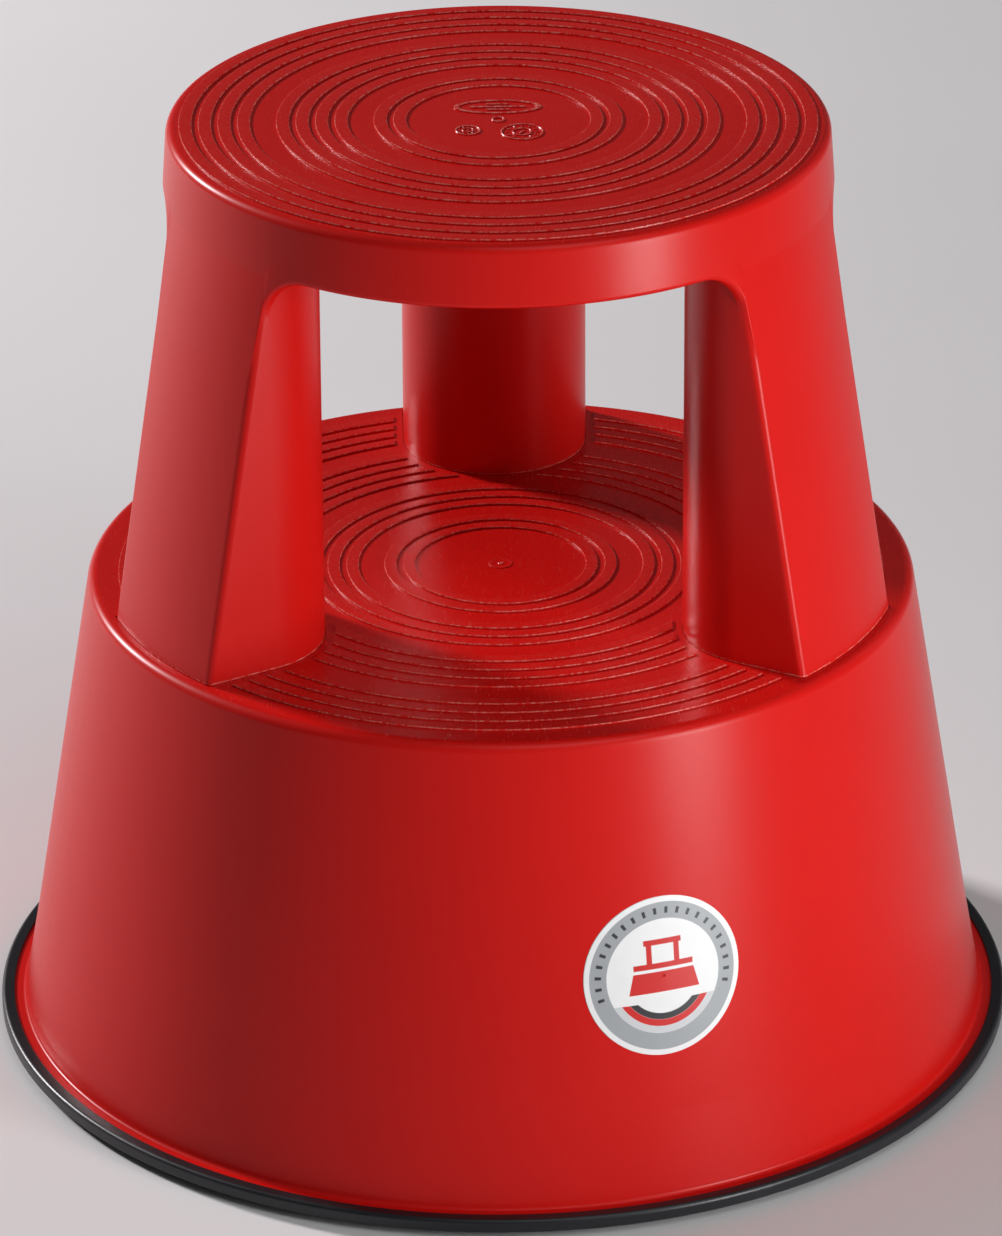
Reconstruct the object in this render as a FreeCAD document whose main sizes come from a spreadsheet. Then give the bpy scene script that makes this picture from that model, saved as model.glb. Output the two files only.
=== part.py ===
import FreeCAD, Part
# Kick step stool: two round plastic mouldings, a rubber floor ring and three sprung swivel castors.
# Millimetres. The origin is on the floor under the centre, +Z is up and the front faces -Y.
# One leg stands at the back (azimuth 90 degrees) and one castor under the front (azimuth 270 degrees).
import math
import os
import re

import Sketcher
from FreeCAD import Placement, Rotation, Vector

SIZES = (
    ("total_height", 430, "floor to the tops of the tread ribs"),
    ("tread_radius", 145, "tread at its top edge"),
    ("tread_edge", 4, "rounding of the tread's edge"),
    ("band_flare", 2, "band's lower edge beyond the tread"),
    ("band_bottom_radius", "=tread_radius + band_flare", "band at its lower edge"),
    ("band_depth", 29, "tread ribs down to the band's lower edge"),
    ("wall", 4, "walls of both mouldings"),
    ("rib_rise", 0.9, "height of the tread and deck ribs"),
    ("rib_pitch", 8.5, "spacing of the ribs"),
    ("tread_rib_margin", 5.6, "tread's edge to its outermost rib"),
    ("tread_rib_width", 5.8, "width of a tread rib"),
    ("deck_rib_margin", 13.3, "deck's edge to its outermost rib"),
    ("deck_rib_width", 5.5, "width of a deck rib"),
    ("leg_inset", 5.5, "tread's edge to the centre of a leg's round nose"),
    ("leg_centre", "=tread_radius - leg_inset", "centre of a leg's nose, from the stool's axis"),
    ("leg_half_width", 42.3, "half of a leg's width"),
    ("leg_setback", 6.4, "deck's edge to the outer face of a leg"),
    ("leg_foot_radius", "=deck_radius - leg_setback", "outer face of a leg at the deck"),
    ("leg_wall", 3.5, "wall of a leg"),
    ("window_corner", 19, "rounding of a window's top corners"),
    ("foot_sink", 1.5, "depth of a leg's seat in the deck"),
    ("foot_gap", 0.3, "clearance around a leg in its seat"),
    ("foot_margin", 4.5, "plain deck around a leg"),
    ("under_rib", 2.6, "thickness of the ribs under the tread and the deck"),
    ("tread_rib_depth", 12, "depth of the ribs under the tread"),
    ("deck_rib_depth", 18, "depth of the ribs under the deck"),
    ("rib_ring_radius", "=leg_screw_inner - 4 * boss_radius", "middle ring of ribs under both plates"),
    ("rib_spokes", 12, "radial ribs under the tread and the deck"),
    ("rib_spoke_turn", 15, "first radial rib from +X"),
    ("rib_hub_radius", 26, "inner ring of ribs under the tread and the deck"),
    ("deck_height", 217, "floor to the tops of the deck ribs"),
    ("deck_radius", 184.4, "deck at its edge"),
    ("deck_edge", 5, "rounding of the deck's edge"),
    ("deck_wall", 4.5, "thickness of the deck"),
    ("skirt_spread", 33.9, "skirt's foot beyond the deck's edge"),
    ("skirt_foot_radius", "=deck_radius + skirt_spread", "skirt where it meets the flange"),
    ("skirt_root", 2, "rounding between skirt and flange"),
    ("flange_width", 8.2, "flange beyond the skirt"),
    ("flange_radius", "=skirt_foot_radius + flange_width", "edge of the flange"),
    ("flange_bottom", 5.5, "floor to the underside of the flange"),
    ("flange_thick", 3, "thickness of the flange"),
    ("ring_wall", 3.5, "rubber outside the flange"),
    ("ring_radius", "=flange_radius + ring_wall", "outside of the rubber ring"),
    ("ring_bottom", 3.5, "floor to the ring while the castors hold the stool up"),
    ("ring_lip", 1, "height of the rubber over the flange"),
    ("ring_lip_width", 2.5, "rubber over the flange"),
    ("ring_lip_radius", "=flange_radius - ring_lip_width", "inner edge of the rubber over the flange"),
    ("ring_foot_width", 7.5, "rubber under the flange"),
    ("ring_inner_radius", "=flange_radius - ring_foot_width", "inner edge of the rubber under it"),
    ("ring_edge", 2, "rounding of the ring's upper outer edge"),
    ("castor_inset", 32.4, "deck's edge to a swivel axis"),
    ("castor_circle", "=deck_radius - castor_inset", "swivel axes, from the stool's axis"),
    ("castor_turn", 20, "resting heading of a castor, from straight outward"),
    ("tower_radius", 20, "outside of a castor tower"),
    ("tower_bore", 16.5, "inside of a castor tower"),
    ("plate_radius", 31, "castor plate"),
    ("plate_thick", 2, "castor plate"),
    ("plate_screw_circle", 24, "plate screws, from the swivel axis"),
    ("boss_radius", 5, "screw bosses"),
    ("boss_height", 25, "screw bosses"),
    ("screw_radius", 1.7, "screw threads and their pilot holes"),
    ("screw_clearance", 0.5, "radial clearance of a screw in a plate or washer"),
    ("screw_length", 16, "screws, under the head"),
    ("screw_head_radius", 3.7, "screw heads"),
    ("screw_head_height", 2.2, "screw heads"),
    ("recess_reach", 2.22, "cross recess, from its middle to the end of an arm"),
    ("recess_half_width", 0.518, "half of an arm of the cross recess"),
    ("nose_screw_offset", 24.5, "screw near a leg's nose, from the nose's centre"),
    ("leg_screw_inner", "=leg_centre - nose_screw_offset", "the same screw, from the stool's axis"),
    ("face_screw_offset", 18, "pair of screws inside a leg's outer face"),
    ("leg_screw_outer", "=leg_foot_radius - face_screw_offset", "the same pair, from the stool's axis"),
    ("leg_screw_side", 24, "the same pair, from the leg's middle"),
    ("screw_washer_radius", 5.5, "washers under the leg screws"),
    ("screw_washer_thick", 1, "washers under the leg screws"),
    ("wheel_radius", 20, "tyre tread"),
    ("wheel_width", 15, "tyre and rim"),
    ("tyre_thick", 5.5, "tyre"),
    ("tyre_inner_radius", "=wheel_radius - tyre_thick", "tyre on its rim"),
    ("tyre_edge", 3, "rounding of the tyre"),
    ("rim_thick", 2, "rim of the hub"),
    ("web_thick", 5, "web of the hub"),
    ("hub_boss_radius", 5.5, "boss of the hub"),
    ("hub_side_gap", 0.3, "clearance between hub boss and fork"),
    ("hub_overhang", 1.5, "hub boss beyond the rim, each side"),
    ("trail", 13, "axle behind the swivel axis"),
    ("axle_radius", 3, "axle"),
    ("axle_head_radius", 5, "riveted axle ends"),
    ("axle_head", 1.5, "riveted axle ends"),
    ("running_gap", 0.05, "radial clearance of turning and sliding fits"),
    ("spin_gap", 0.2, "axial clearance at the king pin and the clip"),
    ("fork_sheet", 2.5, "fork sheet"),
    ("crown_gap", 3, "tyre top to fork crown"),
    ("crown_radius", 17, "fork crown"),
    ("cheek_eye_radius", 7, "fork cheek around the axle"),
    ("pin_radius", 4, "king pin"),
    ("pin_head_radius", 7, "king pin head"),
    ("pin_head", 2, "king pin head"),
    ("pin_grip", 15, "king pin inside the plunger"),
    ("thrust_washer_radius", 14, "thrust washer"),
    ("thrust_washer_thick", 1.3, "thrust washer"),
    ("stem_radius", 6, "plunger stem"),
    ("plunger_flange_radius", 13, "plunger flange"),
    ("plunger_flange", 3, "plunger flange"),
    ("stem_end", 3.6, "stem above its clip"),
    ("spring_room", 22, "plunger flange to castor plate"),
    ("spring_wire", 1.1, "radius of the spring's wire"),
    ("spring_gap", 1.1, "clearance between spring and stem"),
    ("spring_turns", 5.5, "turns of the spring"),
    ("seat_gap", 0.1, "clearance at each end of the spring"),
    ("bush_wall", 1.95, "wall of the guide bush"),
    ("bush_length", 24, "bush above the castor plate's underside"),
    ("bush_flange", 2.3, "bush flange"),
    ("bush_flange_radius", 11, "bush flange"),
    ("clip_groove", 0.8, "depth of the clip groove"),
    ("clip_thick", 1.2, "retaining clip"),
    ("clip_radius", 9, "retaining clip"),
    ("badge_radius", 36, "badge"),
    ("badge_thick", 0.4, "badge"),
    ("badge_height", 107.9, "floor to the badge's centre"),
    ("badge_azimuth", 289, "direction that the badge faces"),
)
NAMES = {name for name, size, meaning in SIZES}

TREAD_RIBS = (0, 1, 3, 4, 5, 6, 8, 9, 10, 11)
DECK_RIBS = (0, 1, 3, 4, 5, 7, 8, 9, 10, 12, 13, 14, 15)
CASTOR_AZIMUTHS = (30, 150, 270)
BOSS_ANGLES = (90, 210, 330)

# Levels and radii that several pieces share, as expressions over the sheet.
TREAD_PLANE = "(total_height - rib_rise)"
TREAD_UNDER = f"({TREAD_PLANE} - wall)"
BAND_BOTTOM = "(total_height - band_depth)"
DECK_PLANE = "(deck_height - rib_rise)"
DECK_UNDER = f"({DECK_PLANE} - deck_wall)"
FOOT = f"({DECK_PLANE} - foot_sink)"
FLANGE_TOP = "(flange_bottom + flange_thick)"
LEG_SLOPE = f"((leg_foot_radius - band_bottom_radius) / ({BAND_BOTTOM} - deck_height))"
SKIRT_SLOPE = f"((skirt_foot_radius - deck_radius) / ({DECK_PLANE} - {FLANGE_TOP}))"
CROWN_LOW = "(2 * wheel_radius + crown_gap)"
CROWN_TOP = f"({CROWN_LOW} + fork_sheet)"
WASHER_LOW = f"({CROWN_TOP} + spin_gap)"
PLUNGER_LOW = f"({WASHER_LOW} + thrust_washer_thick)"
SPRING_SEAT = f"({PLUNGER_LOW} + plunger_flange)"
PLATE_LOW = f"({SPRING_SEAT} + spring_room)"
PLATE_TOP = f"({PLATE_LOW} + plate_thick)"
BUSH_LOW = f"({PLATE_LOW} - bush_flange)"
BUSH_TOP = f"({PLATE_LOW} + bush_length)"
CLIP_LOW = f"({BUSH_TOP} + spin_gap)"
CLIP_TOP = f"({CLIP_LOW} + clip_thick)"
BUSH_BORE = "(stem_radius + running_gap)"
BUSH_RADIUS = f"({BUSH_BORE} + bush_wall)"
SCREW_HOLE = "(screw_radius + screw_clearance)"
CHEEK_INSIDE = "(wheel_width / 2 + hub_overhang + hub_side_gap)"
CHEEK_OUTSIDE = f"({CHEEK_INSIDE} + fork_sheet)"


def leg_radius(level):
    """Outer radius of the legs' common cone at a level."""
    return f"(band_bottom_radius + ({BAND_BOTTOM} - {level}) * {LEG_SLOPE})"


def skirt_radius(level):
    """Outer radius of the skirt at a level."""
    return f"(deck_radius + ({DECK_PLANE} - {level}) * {SKIRT_SLOPE})"


doc = FreeCAD.newDocument("kick_step_stool")
sheet = doc.addObject("Spreadsheet::Sheet", "dims")
for row, (name, size, meaning) in enumerate(SIZES, 1):
    sheet.set(f"A{row}", name)
    sheet.set(f"C{row}", meaning)
    sheet.setAlias(f"B{row}", name)
for row, (name, size, meaning) in enumerate(SIZES, 1):
    sheet.set(f"B{row}", str(size))
doc.recompute()
parts = []


# ---------------------------------------------------------------- sheet, sketches and features

def sized(text):
    """An expression with the sheet's name before each of its aliases."""
    return re.sub(r"[a-z]\w+", lambda word: f"dims.{word[0]}" if word[0] in NAMES else word[0], text)


def number_of(text):
    """The present value of an expression."""
    return float(sheet.evalExpression(sized(text)))


def bind(thing, target, text):
    thing.setExpression(target, sized(text))


def new_body(label):
    """A body for one sub-part; its label names the file."""
    body = doc.addObject("PartDesign::Body", label)
    body.Label = label
    body.AllowCompound = True
    parts.append(body)
    return body


def origin_feature(body, role):
    return next(feature for feature in body.Origin.OriginFeatures if feature.Role == role)


def sketch_on(body, name, role, level=None, along=None, spin=0):
    """A sketch on an origin plane, raised to a level, moved along its own x or turned about its own y."""
    sketch = body.newObject("Sketcher::SketchObject", name)
    sketch.AttachmentSupport = [(origin_feature(body, role), "")]
    sketch.MapMode = "FlatFace"
    sketch.AttachmentOffset = Placement(Vector(), Rotation(Vector(0, 1, 0), spin))
    if level:
        bind(sketch, "AttachmentOffset.Base.z", level)
    if along:
        bind(sketch, "AttachmentOffset.Base.x", along)
    return sketch


def constrain(sketch, text, kind, *where):
    """A dimension that follows an expression."""
    index = sketch.addConstraint(Sketcher.Constraint(kind, *where, number_of(text)))
    bind(sketch, f"Constraints[{index}]", text)


def fix_point(sketch, curve, point, x, y):
    """Hold a curve's point at a place given by two expressions."""
    for text, kind, axis in ((x, "DistanceX", -2), (y, "DistanceY", -1)):
        if text == "0":
            sketch.addConstraint(Sketcher.Constraint("PointOnObject", curve, point, axis))
        else:
            constrain(sketch, text, kind, -1, 1, curve, point)


def polygon(sketch, points):
    """A closed outline through points, each a pair of expressions."""
    first = sketch.GeometryCount
    places = [Vector(number_of(x), number_of(y), 0) for x, y in points]
    for start, end in zip(places, places[1:] + places[:1]):
        sketch.addGeometry(Part.LineSegment(start, end), False)
    for step, (x, y) in enumerate(points):
        following = first + (step + 1) % len(points)
        sketch.addConstraint(Sketcher.Constraint("Coincident", first + step, 2, following, 1))
        fix_point(sketch, first + step, 1, x, y)


def box_outline(sketch, left, right, low, high):
    polygon(sketch, [(left, low), (right, low), (right, high), (left, high)])


def circle(sketch, radius, x="0", y="0"):
    centre = Vector(number_of(x), number_of(y), 0)
    curve = sketch.addGeometry(Part.Circle(centre, Vector(0, 0, 1), number_of(radius)), False)
    constrain(sketch, radius, "Radius", curve)
    fix_point(sketch, curve, 3, x, y)


def cross(sketch, x, y):
    """The outline of a cross recess in a screw head."""
    arm, half = "recess_reach", "recess_half_width"
    corners = [(arm, half), (half, half), (half, arm)]
    points = []
    for quarter in range(4):
        for a, b in corners:
            turned = ((a, b), (f"-{b}", a), (f"-{a}", f"-{b}"), (b, f"-{a}"))[quarter]
            points.append((f"{x} + {turned[0]}", f"{y} + {turned[1]}"))
    polygon(sketch, points)


def leg_outline(sketch, width, outer):
    """Round nose, two straight sides and an outer arc about the stool's axis; the leg faces +Y."""
    half, centre, far = number_of(width), number_of("leg_centre"), number_of(outer)
    side = math.sqrt(far ** 2 - half ** 2)
    spread = math.atan2(side, half)
    up = Vector(0, 0, 1)
    nose = Part.ArcOfCircle(Part.Circle(Vector(0, centre, 0), up, half), math.pi, 2 * math.pi)
    back = Part.ArcOfCircle(Part.Circle(Vector(), up, far), spread, math.pi - spread)
    right = Part.LineSegment(Vector(half, centre, 0), Vector(half, side, 0))
    left = Part.LineSegment(Vector(-half, side, 0), Vector(-half, centre, 0))
    sketch.addGeometry([nose, right, back, left], False)
    for curve in range(4):
        sketch.addConstraint(Sketcher.Constraint("Coincident", curve, 2, (curve + 1) % 4, 1))
    sketch.addConstraint(Sketcher.Constraint("Horizontal", 0, 1, 0, 3))
    sketch.addConstraint(Sketcher.Constraint("Horizontal", 0, 2, 0, 3))
    sketch.addConstraint(Sketcher.Constraint("Vertical", 1))
    sketch.addConstraint(Sketcher.Constraint("Vertical", 3))
    sketch.addConstraint(Sketcher.Constraint("Coincident", 2, 3, -1, 1))
    constrain(sketch, width, "Radius", 0)
    constrain(sketch, outer, "Radius", 2)
    fix_point(sketch, 0, 3, "0", "leg_centre")


def turned(body, name, sketch, kind="Revolution"):
    """Turn a sketch about its own vertical axis."""
    feature = body.newObject(f"PartDesign::{kind}", name)
    feature.Profile = sketch
    feature.ReferenceAxis = (sketch, ["V_Axis"])
    feature.Angle = 360
    body.Tip = feature
    return feature


def raised(body, name, sketch, length, kind="Pad", side="One side", reverse=False):
    """Pad or pocket a sketch by a length."""
    feature = body.newObject(f"PartDesign::{kind}", name)
    feature.Profile = sketch
    feature.SideType = side
    feature.Reversed = reverse
    bind(feature, "Length", length)
    body.Tip = feature
    return feature


def combined(body, name, tool, kind):
    """Fuse a helper body with a body, or cut it away."""
    doc.recompute()
    feature = body.newObject("PartDesign::Boolean", name)
    feature.setObjects([tool])
    feature.Type = kind
    body.Tip = feature


def repeated(body, name, features, count):
    """Repeat features evenly around the body's own vertical axis."""
    pattern = body.newObject("PartDesign::PolarPattern", name)
    pattern.Originals = features
    pattern.Axis = (origin_feature(body, "Z_Axis"), [""])
    pattern.Angle = 360
    pattern.Occurrences = count
    body.Tip = pattern
    return pattern


def rounded(body, name, radius, chosen):
    """Round the edges of the body so far that a test picks out."""
    doc.recompute()
    base = body.Tip
    edges = [f"Edge{index}" for index, edge in enumerate(base.Shape.Edges, 1) if chosen(edge)]
    feature = body.newObject("PartDesign::Fillet", name)
    feature.Base = (base, edges)
    bind(feature, "Radius", radius)
    body.Tip = feature


def is_rim(edge, radius, level, slack=0.05):
    """Whether an edge is the whole circle of a radius at a level."""
    box = edge.BoundBox
    flat = abs(box.ZMin - level) < slack and abs(box.ZMax - level) < slack
    return flat and abs(box.XMax - radius) < slack and abs(box.XMin + radius) < slack


def is_circle(edge, radius):
    """Whether an edge is round with a radius."""
    return edge.Curve.TypeId == "Part::GeomCircle" and abs(edge.Curve.Radius - radius) < 0.01


def under_ribs(body, name, reach, top, depth, slope):
    """Radial and ring ribs below a plate, out to a wall that slopes."""
    low = f"{top} - {depth}"
    plan = sketch_on(body, f"{name}_spoke_plan", "YZ_Plane", spin=number_of("rib_spoke_turn"))
    polygon(plan, [("rib_hub_radius", low), (f"{reach} + {slope} * {depth}", low),
                   (reach, top), ("rib_hub_radius", top)])
    spoke = raised(body, f"{name}_spoke", plan, "under_rib", side="Symmetric")
    repeated(body, f"{name}_spokes", [spoke], int(number_of("rib_spokes")))
    rings = sketch_on(body, f"{name}_ring_plan", "YZ_Plane")
    for radius in ("rib_hub_radius", "rib_ring_radius"):
        box_outline(rings, f"{radius} - under_rib / 2", f"{radius} + under_rib / 2", low, top)
    turned(body, f"{name}_rings", rings)


def ring_ribs(body, name, outer, width, steps, low):
    """Raised concentric ribs on a plate, laid out inward from the outermost."""
    plan = sketch_on(body, f"{name}_plan", "YZ_Plane")
    for step in steps:
        edge = f"{outer} - {max(steps) - step} * rib_pitch"
        box_outline(plan, f"{edge} - {width}", edge, low, f"{low} + rib_rise")
    return turned(body, name, plan)


def leg_screw_places():
    """Screws of the leg that faces +Y."""
    return (("0", "leg_screw_inner"), ("-leg_screw_side", "leg_screw_outer"),
            ("leg_screw_side", "leg_screw_outer"))


def plate_screw_places():
    """Screws of the castor under -Y."""
    return [(f"plate_screw_circle * cos({angle})", f"plate_screw_circle * sin({angle}) - castor_circle")
            for angle in BOSS_ANGLES]


# ---------------------------------------------------------------- the two mouldings

def make_upper_step():
    """Tread, band and three hollow legs in one moulding."""
    body = new_body("upper_step")
    cup = sketch_on(body, "cup_section", "YZ_Plane")
    polygon(cup, [("0", TREAD_PLANE), ("tread_radius", TREAD_PLANE),
                  ("band_bottom_radius", BAND_BOTTOM), ("band_bottom_radius - wall", BAND_BOTTOM),
                  ("tread_radius - wall", TREAD_UNDER), ("0", TREAD_UNDER)])
    turned(body, "cup", cup)
    rounded(body, "tread_edge_round", "tread_edge",
            lambda edge: is_rim(edge, number_of("tread_radius"), number_of(TREAD_PLANE)))
    ring_ribs(body, "tread_ribs", "tread_radius - tread_rib_margin", "tread_rib_width", TREAD_RIBS,
              TREAD_PLANE)
    add_window_corners(body)
    add_legs(body)
    under_ribs(body, "tread_under", "(tread_radius - wall / 2)", TREAD_UNDER, "tread_rib_depth", "0")


def add_window_corners(body):
    """Concave corners between each leg and the band, as thick as the band."""
    low = f"{BAND_BOTTOM} - window_corner"
    plan = sketch_on(body, "corner_plan", "XZ_Plane", level="-(band_bottom_radius + wall)")
    bound = number_of(BAND_BOTTOM)
    for sign in (1, -1):
        first = plan.GeometryCount
        root, edge, tip = (sign * number_of(f"leg_half_width {text}")
                           for text in ("- leg_wall", "+ 0", "+ window_corner"))
        foot = bound - number_of("window_corner")
        spans = (math.pi / 2, math.pi) if sign > 0 else (0, math.pi / 2)
        arc_circle = Part.Circle(Vector(tip, foot, 0), Vector(0, 0, 1), abs(tip - edge))
        plan.addGeometry([Part.ArcOfCircle(arc_circle, *spans),
                          Part.LineSegment(Vector(edge, foot, 0), Vector(root, foot, 0)),
                          Part.LineSegment(Vector(root, foot, 0), Vector(root, bound, 0)),
                          Part.LineSegment(Vector(root, bound, 0), Vector(tip, bound, 0))], False)
        low_end, high_end = (2, 1) if sign > 0 else (1, 2)
        joins = ((first, low_end, first + 1, 1), (first + 1, 2, first + 2, 1),
                 (first + 2, 2, first + 3, 1), (first + 3, 2, first, high_end))
        for join in joins:
            plan.addConstraint(Sketcher.Constraint("Coincident", *join))
        minus = "-" if sign < 0 else ""
        fix_point(plan, first, low_end, f"{minus}leg_half_width", low)
        fix_point(plan, first, high_end, f"{minus}(leg_half_width + window_corner)", BAND_BOTTOM)
        fix_point(plan, first + 2, 1, f"{minus}(leg_half_width - leg_wall)", low)
        fix_point(plan, first + 2, 2, f"{minus}(leg_half_width - leg_wall)", BAND_BOTTOM)
        constrain(plan, "window_corner", "Radius", first)
    corner = raised(body, "corner", plan, "band_bottom_radius")
    repeated(body, "corners", [corner], 3)
    trim = sketch_on(body, "corner_trim_section", "YZ_Plane")
    below = f"({low} - wall)"
    polygon(trim, [(f"{leg_radius(BAND_BOTTOM)} - wall", BAND_BOTTOM), ("0", BAND_BOTTOM), ("0", below),
                   (f"{leg_radius(below)} - wall", below)])
    polygon(trim, [(leg_radius(BAND_BOTTOM), BAND_BOTTOM), ("2 * leg_foot_radius", BAND_BOTTOM),
                   ("2 * leg_foot_radius", below), (leg_radius(below), below)])
    turned(body, "corner_trim", trim, "Groove")


def leg_form(label, inset, top_radius):
    """The three legs' shape, set in from their outer faces, up to the tread."""
    form = doc.addObject("PartDesign::Body", label)
    form.AllowCompound = True
    far = "(leg_foot_radius + 10 * wall)"
    plan = sketch_on(form, f"{label}_plan", "XY_Plane", level=FOOT)
    leg_outline(plan, f"leg_half_width - {inset}", far)
    prism = raised(form, f"{label}_prism", plan, f"{TREAD_UNDER} - {FOOT}")
    repeated(form, f"{label}_prisms", [prism], 3)
    trim = sketch_on(form, f"{label}_trim_section", "YZ_Plane")
    polygon(trim, [(f"{leg_radius(FOOT)} - {inset}", FOOT),
                   (f"{leg_radius(BAND_BOTTOM)} - {inset}", BAND_BOTTOM),
                   (top_radius, BAND_BOTTOM), (top_radius, TREAD_UNDER), (f"2 * {far}", TREAD_UNDER),
                   (f"2 * {far}", FOOT)])
    turned(form, f"{label}_trim", trim, "Groove")
    return form


def add_legs(body):
    """Legs that open downward, each with three screw bosses inside."""
    combined(body, "legs", leg_form("leg_outsides", "0", "(tread_radius - wall / 2)"), "Fuse")
    combined(body, "leg_hollows", leg_form("leg_insides", "leg_wall", "(tread_radius - wall)"), "Cut")
    bosses = sketch_on(body, "leg_boss_plan", "XY_Plane", level=FOOT)
    for x, y in leg_screw_places():
        circle(bosses, "boss_radius", x, y)
    boss = raised(body, "leg_boss", bosses, "boss_height")
    webs = sketch_on(body, "leg_web_plan", "XY_Plane", level=FOOT)
    half_web = "under_rib / 2"
    box_outline(webs, f"-{half_web}", half_web, "leg_centre - leg_half_width + leg_wall / 2",
                "leg_screw_inner - screw_radius * 2")
    for sign in ("", "-"):
        box_outline(webs, f"{sign}(leg_screw_side + screw_radius * 2)",
                    f"{sign}(leg_half_width - leg_wall / 2)",
                    f"leg_screw_outer - {half_web}", f"leg_screw_outer + {half_web}")
    web = raised(body, "leg_web", webs, "boss_height")
    pilots = sketch_on(body, "leg_pilot_plan", "XY_Plane", level=FOOT)
    for x, y in leg_screw_places():
        circle(pilots, "screw_radius", x, y)
    pilot = raised(body, "leg_pilot", pilots, "boss_height - wall", "Pocket", reverse=True)
    repeated(body, "leg_bosses", [boss, web, pilot], 3)


def make_lower_shell():
    """Deck, skirt, flange, three castor towers and the ribs under the deck in one moulding."""
    body = new_body("lower_shell")
    section = sketch_on(body, "shell_section", "YZ_Plane")
    polygon(section, [("0", DECK_PLANE), ("deck_radius", DECK_PLANE), ("skirt_foot_radius", FLANGE_TOP),
                      ("flange_radius", FLANGE_TOP), ("flange_radius", "flange_bottom"),
                      (f"{skirt_radius('flange_bottom')} - wall", "flange_bottom"),
                      (f"{skirt_radius(DECK_UNDER)} - wall", DECK_UNDER), ("0", DECK_UNDER)])
    turned(body, "shell", section)
    rounded(body, "deck_edge_round", "deck_edge",
            lambda edge: is_rim(edge, number_of("deck_radius"), number_of(DECK_PLANE)))
    rounded(body, "skirt_root_round", "skirt_root",
            lambda edge: is_rim(edge, number_of("skirt_foot_radius"), number_of(FLANGE_TOP)))
    ring_ribs(body, "deck_ribs", "deck_radius - deck_rib_margin", "deck_rib_width", DECK_RIBS, DECK_PLANE)
    add_leg_seats(body)
    reach = f"({skirt_radius(DECK_UNDER)} - wall / 2)"
    under_ribs(body, "deck_under", reach, DECK_UNDER, "deck_rib_depth", SKIRT_SLOPE)
    add_towers(body)


def add_leg_seats(body):
    """Plain deck around each leg, a shallow seat for its foot and its screw holes."""
    plain = sketch_on(body, "leg_margin_plan", "XY_Plane", level=DECK_PLANE)
    leg_outline(plain, "leg_half_width + foot_margin", f"{leg_radius(DECK_PLANE)} + foot_margin")
    margin = raised(body, "leg_margin", plain, "rib_rise", "Pocket", reverse=True)
    seat_plan = sketch_on(body, "leg_seat_plan", "XY_Plane", level=FOOT)
    leg_outline(seat_plan, "leg_half_width + foot_gap", f"{leg_radius(FOOT)} + foot_gap")
    seat = raised(body, "leg_seat", seat_plan, "foot_sink", "Pocket", reverse=True)
    holes = sketch_on(body, "leg_hole_plan", "XY_Plane", level=DECK_UNDER)
    for x, y in leg_screw_places():
        circle(holes, SCREW_HOLE, x, y)
    hole = raised(body, "leg_holes", holes, "deck_wall", "Pocket", reverse=True)
    repeated(body, "leg_seats", [margin, seat, hole], 3)


def add_towers(body):
    """Hollow towers that carry the castor plates, each braced to the skirt."""
    wall_plan = sketch_on(body, "tower_plan", "XY_Plane", level=PLATE_TOP)
    circle(wall_plan, "tower_radius", "0", "-castor_circle")
    tower = raised(body, "tower", wall_plan, f"{DECK_UNDER} - {PLATE_TOP}")
    boss_plan = sketch_on(body, "tower_boss_plan", "XY_Plane", level=PLATE_TOP)
    for x, y in plate_screw_places():
        circle(boss_plan, "boss_radius", x, y)
    bosses = raised(body, "tower_bosses", boss_plan, "boss_height")
    brace_plan = sketch_on(body, "tower_brace_plan", "YZ_Plane")
    near = "-(castor_circle + (tower_radius + tower_bore) / 2)"
    polygon(brace_plan, [(near, PLATE_TOP), (f"wall / 2 - {skirt_radius(PLATE_TOP)}", PLATE_TOP),
                         (f"wall / 2 - {skirt_radius(DECK_UNDER)}", DECK_UNDER), (near, DECK_UNDER)])
    brace = raised(body, "tower_brace", brace_plan, "under_rib", side="Symmetric")
    bore_plan = sketch_on(body, "tower_bore_plan", "XY_Plane", level=PLATE_TOP)
    circle(bore_plan, "tower_bore", "0", "-castor_circle")
    bore = raised(body, "tower_hollow", bore_plan, f"{DECK_UNDER} - {PLATE_TOP}", "Pocket", reverse=True)
    pilot_plan = sketch_on(body, "tower_pilot_plan", "XY_Plane", level=PLATE_TOP)
    for x, y in plate_screw_places():
        circle(pilot_plan, "screw_radius", x, y)
    pilots = raised(body, "tower_pilots", pilot_plan, "boss_height - wall", "Pocket", reverse=True)
    repeated(body, "towers", [tower, bosses, brace, bore, pilots], 3)


def make_floor_ring():
    """Rubber ring that grips the flange."""
    body = new_body("floor_ring")
    section = sketch_on(body, "ring_section", "YZ_Plane")
    top = f"{FLANGE_TOP} + ring_lip"
    polygon(section, [("ring_inner_radius", "ring_bottom"), ("ring_radius", "ring_bottom"),
                      ("ring_radius", top), ("ring_lip_radius", top), ("ring_lip_radius", FLANGE_TOP),
                      ("flange_radius", FLANGE_TOP), ("flange_radius", "flange_bottom"),
                      ("ring_inner_radius", "flange_bottom")])
    turned(body, "ring", section)
    rounded(body, "ring_edge_round", "ring_edge",
            lambda edge: is_rim(edge, number_of("ring_radius"), number_of(top)))


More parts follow.
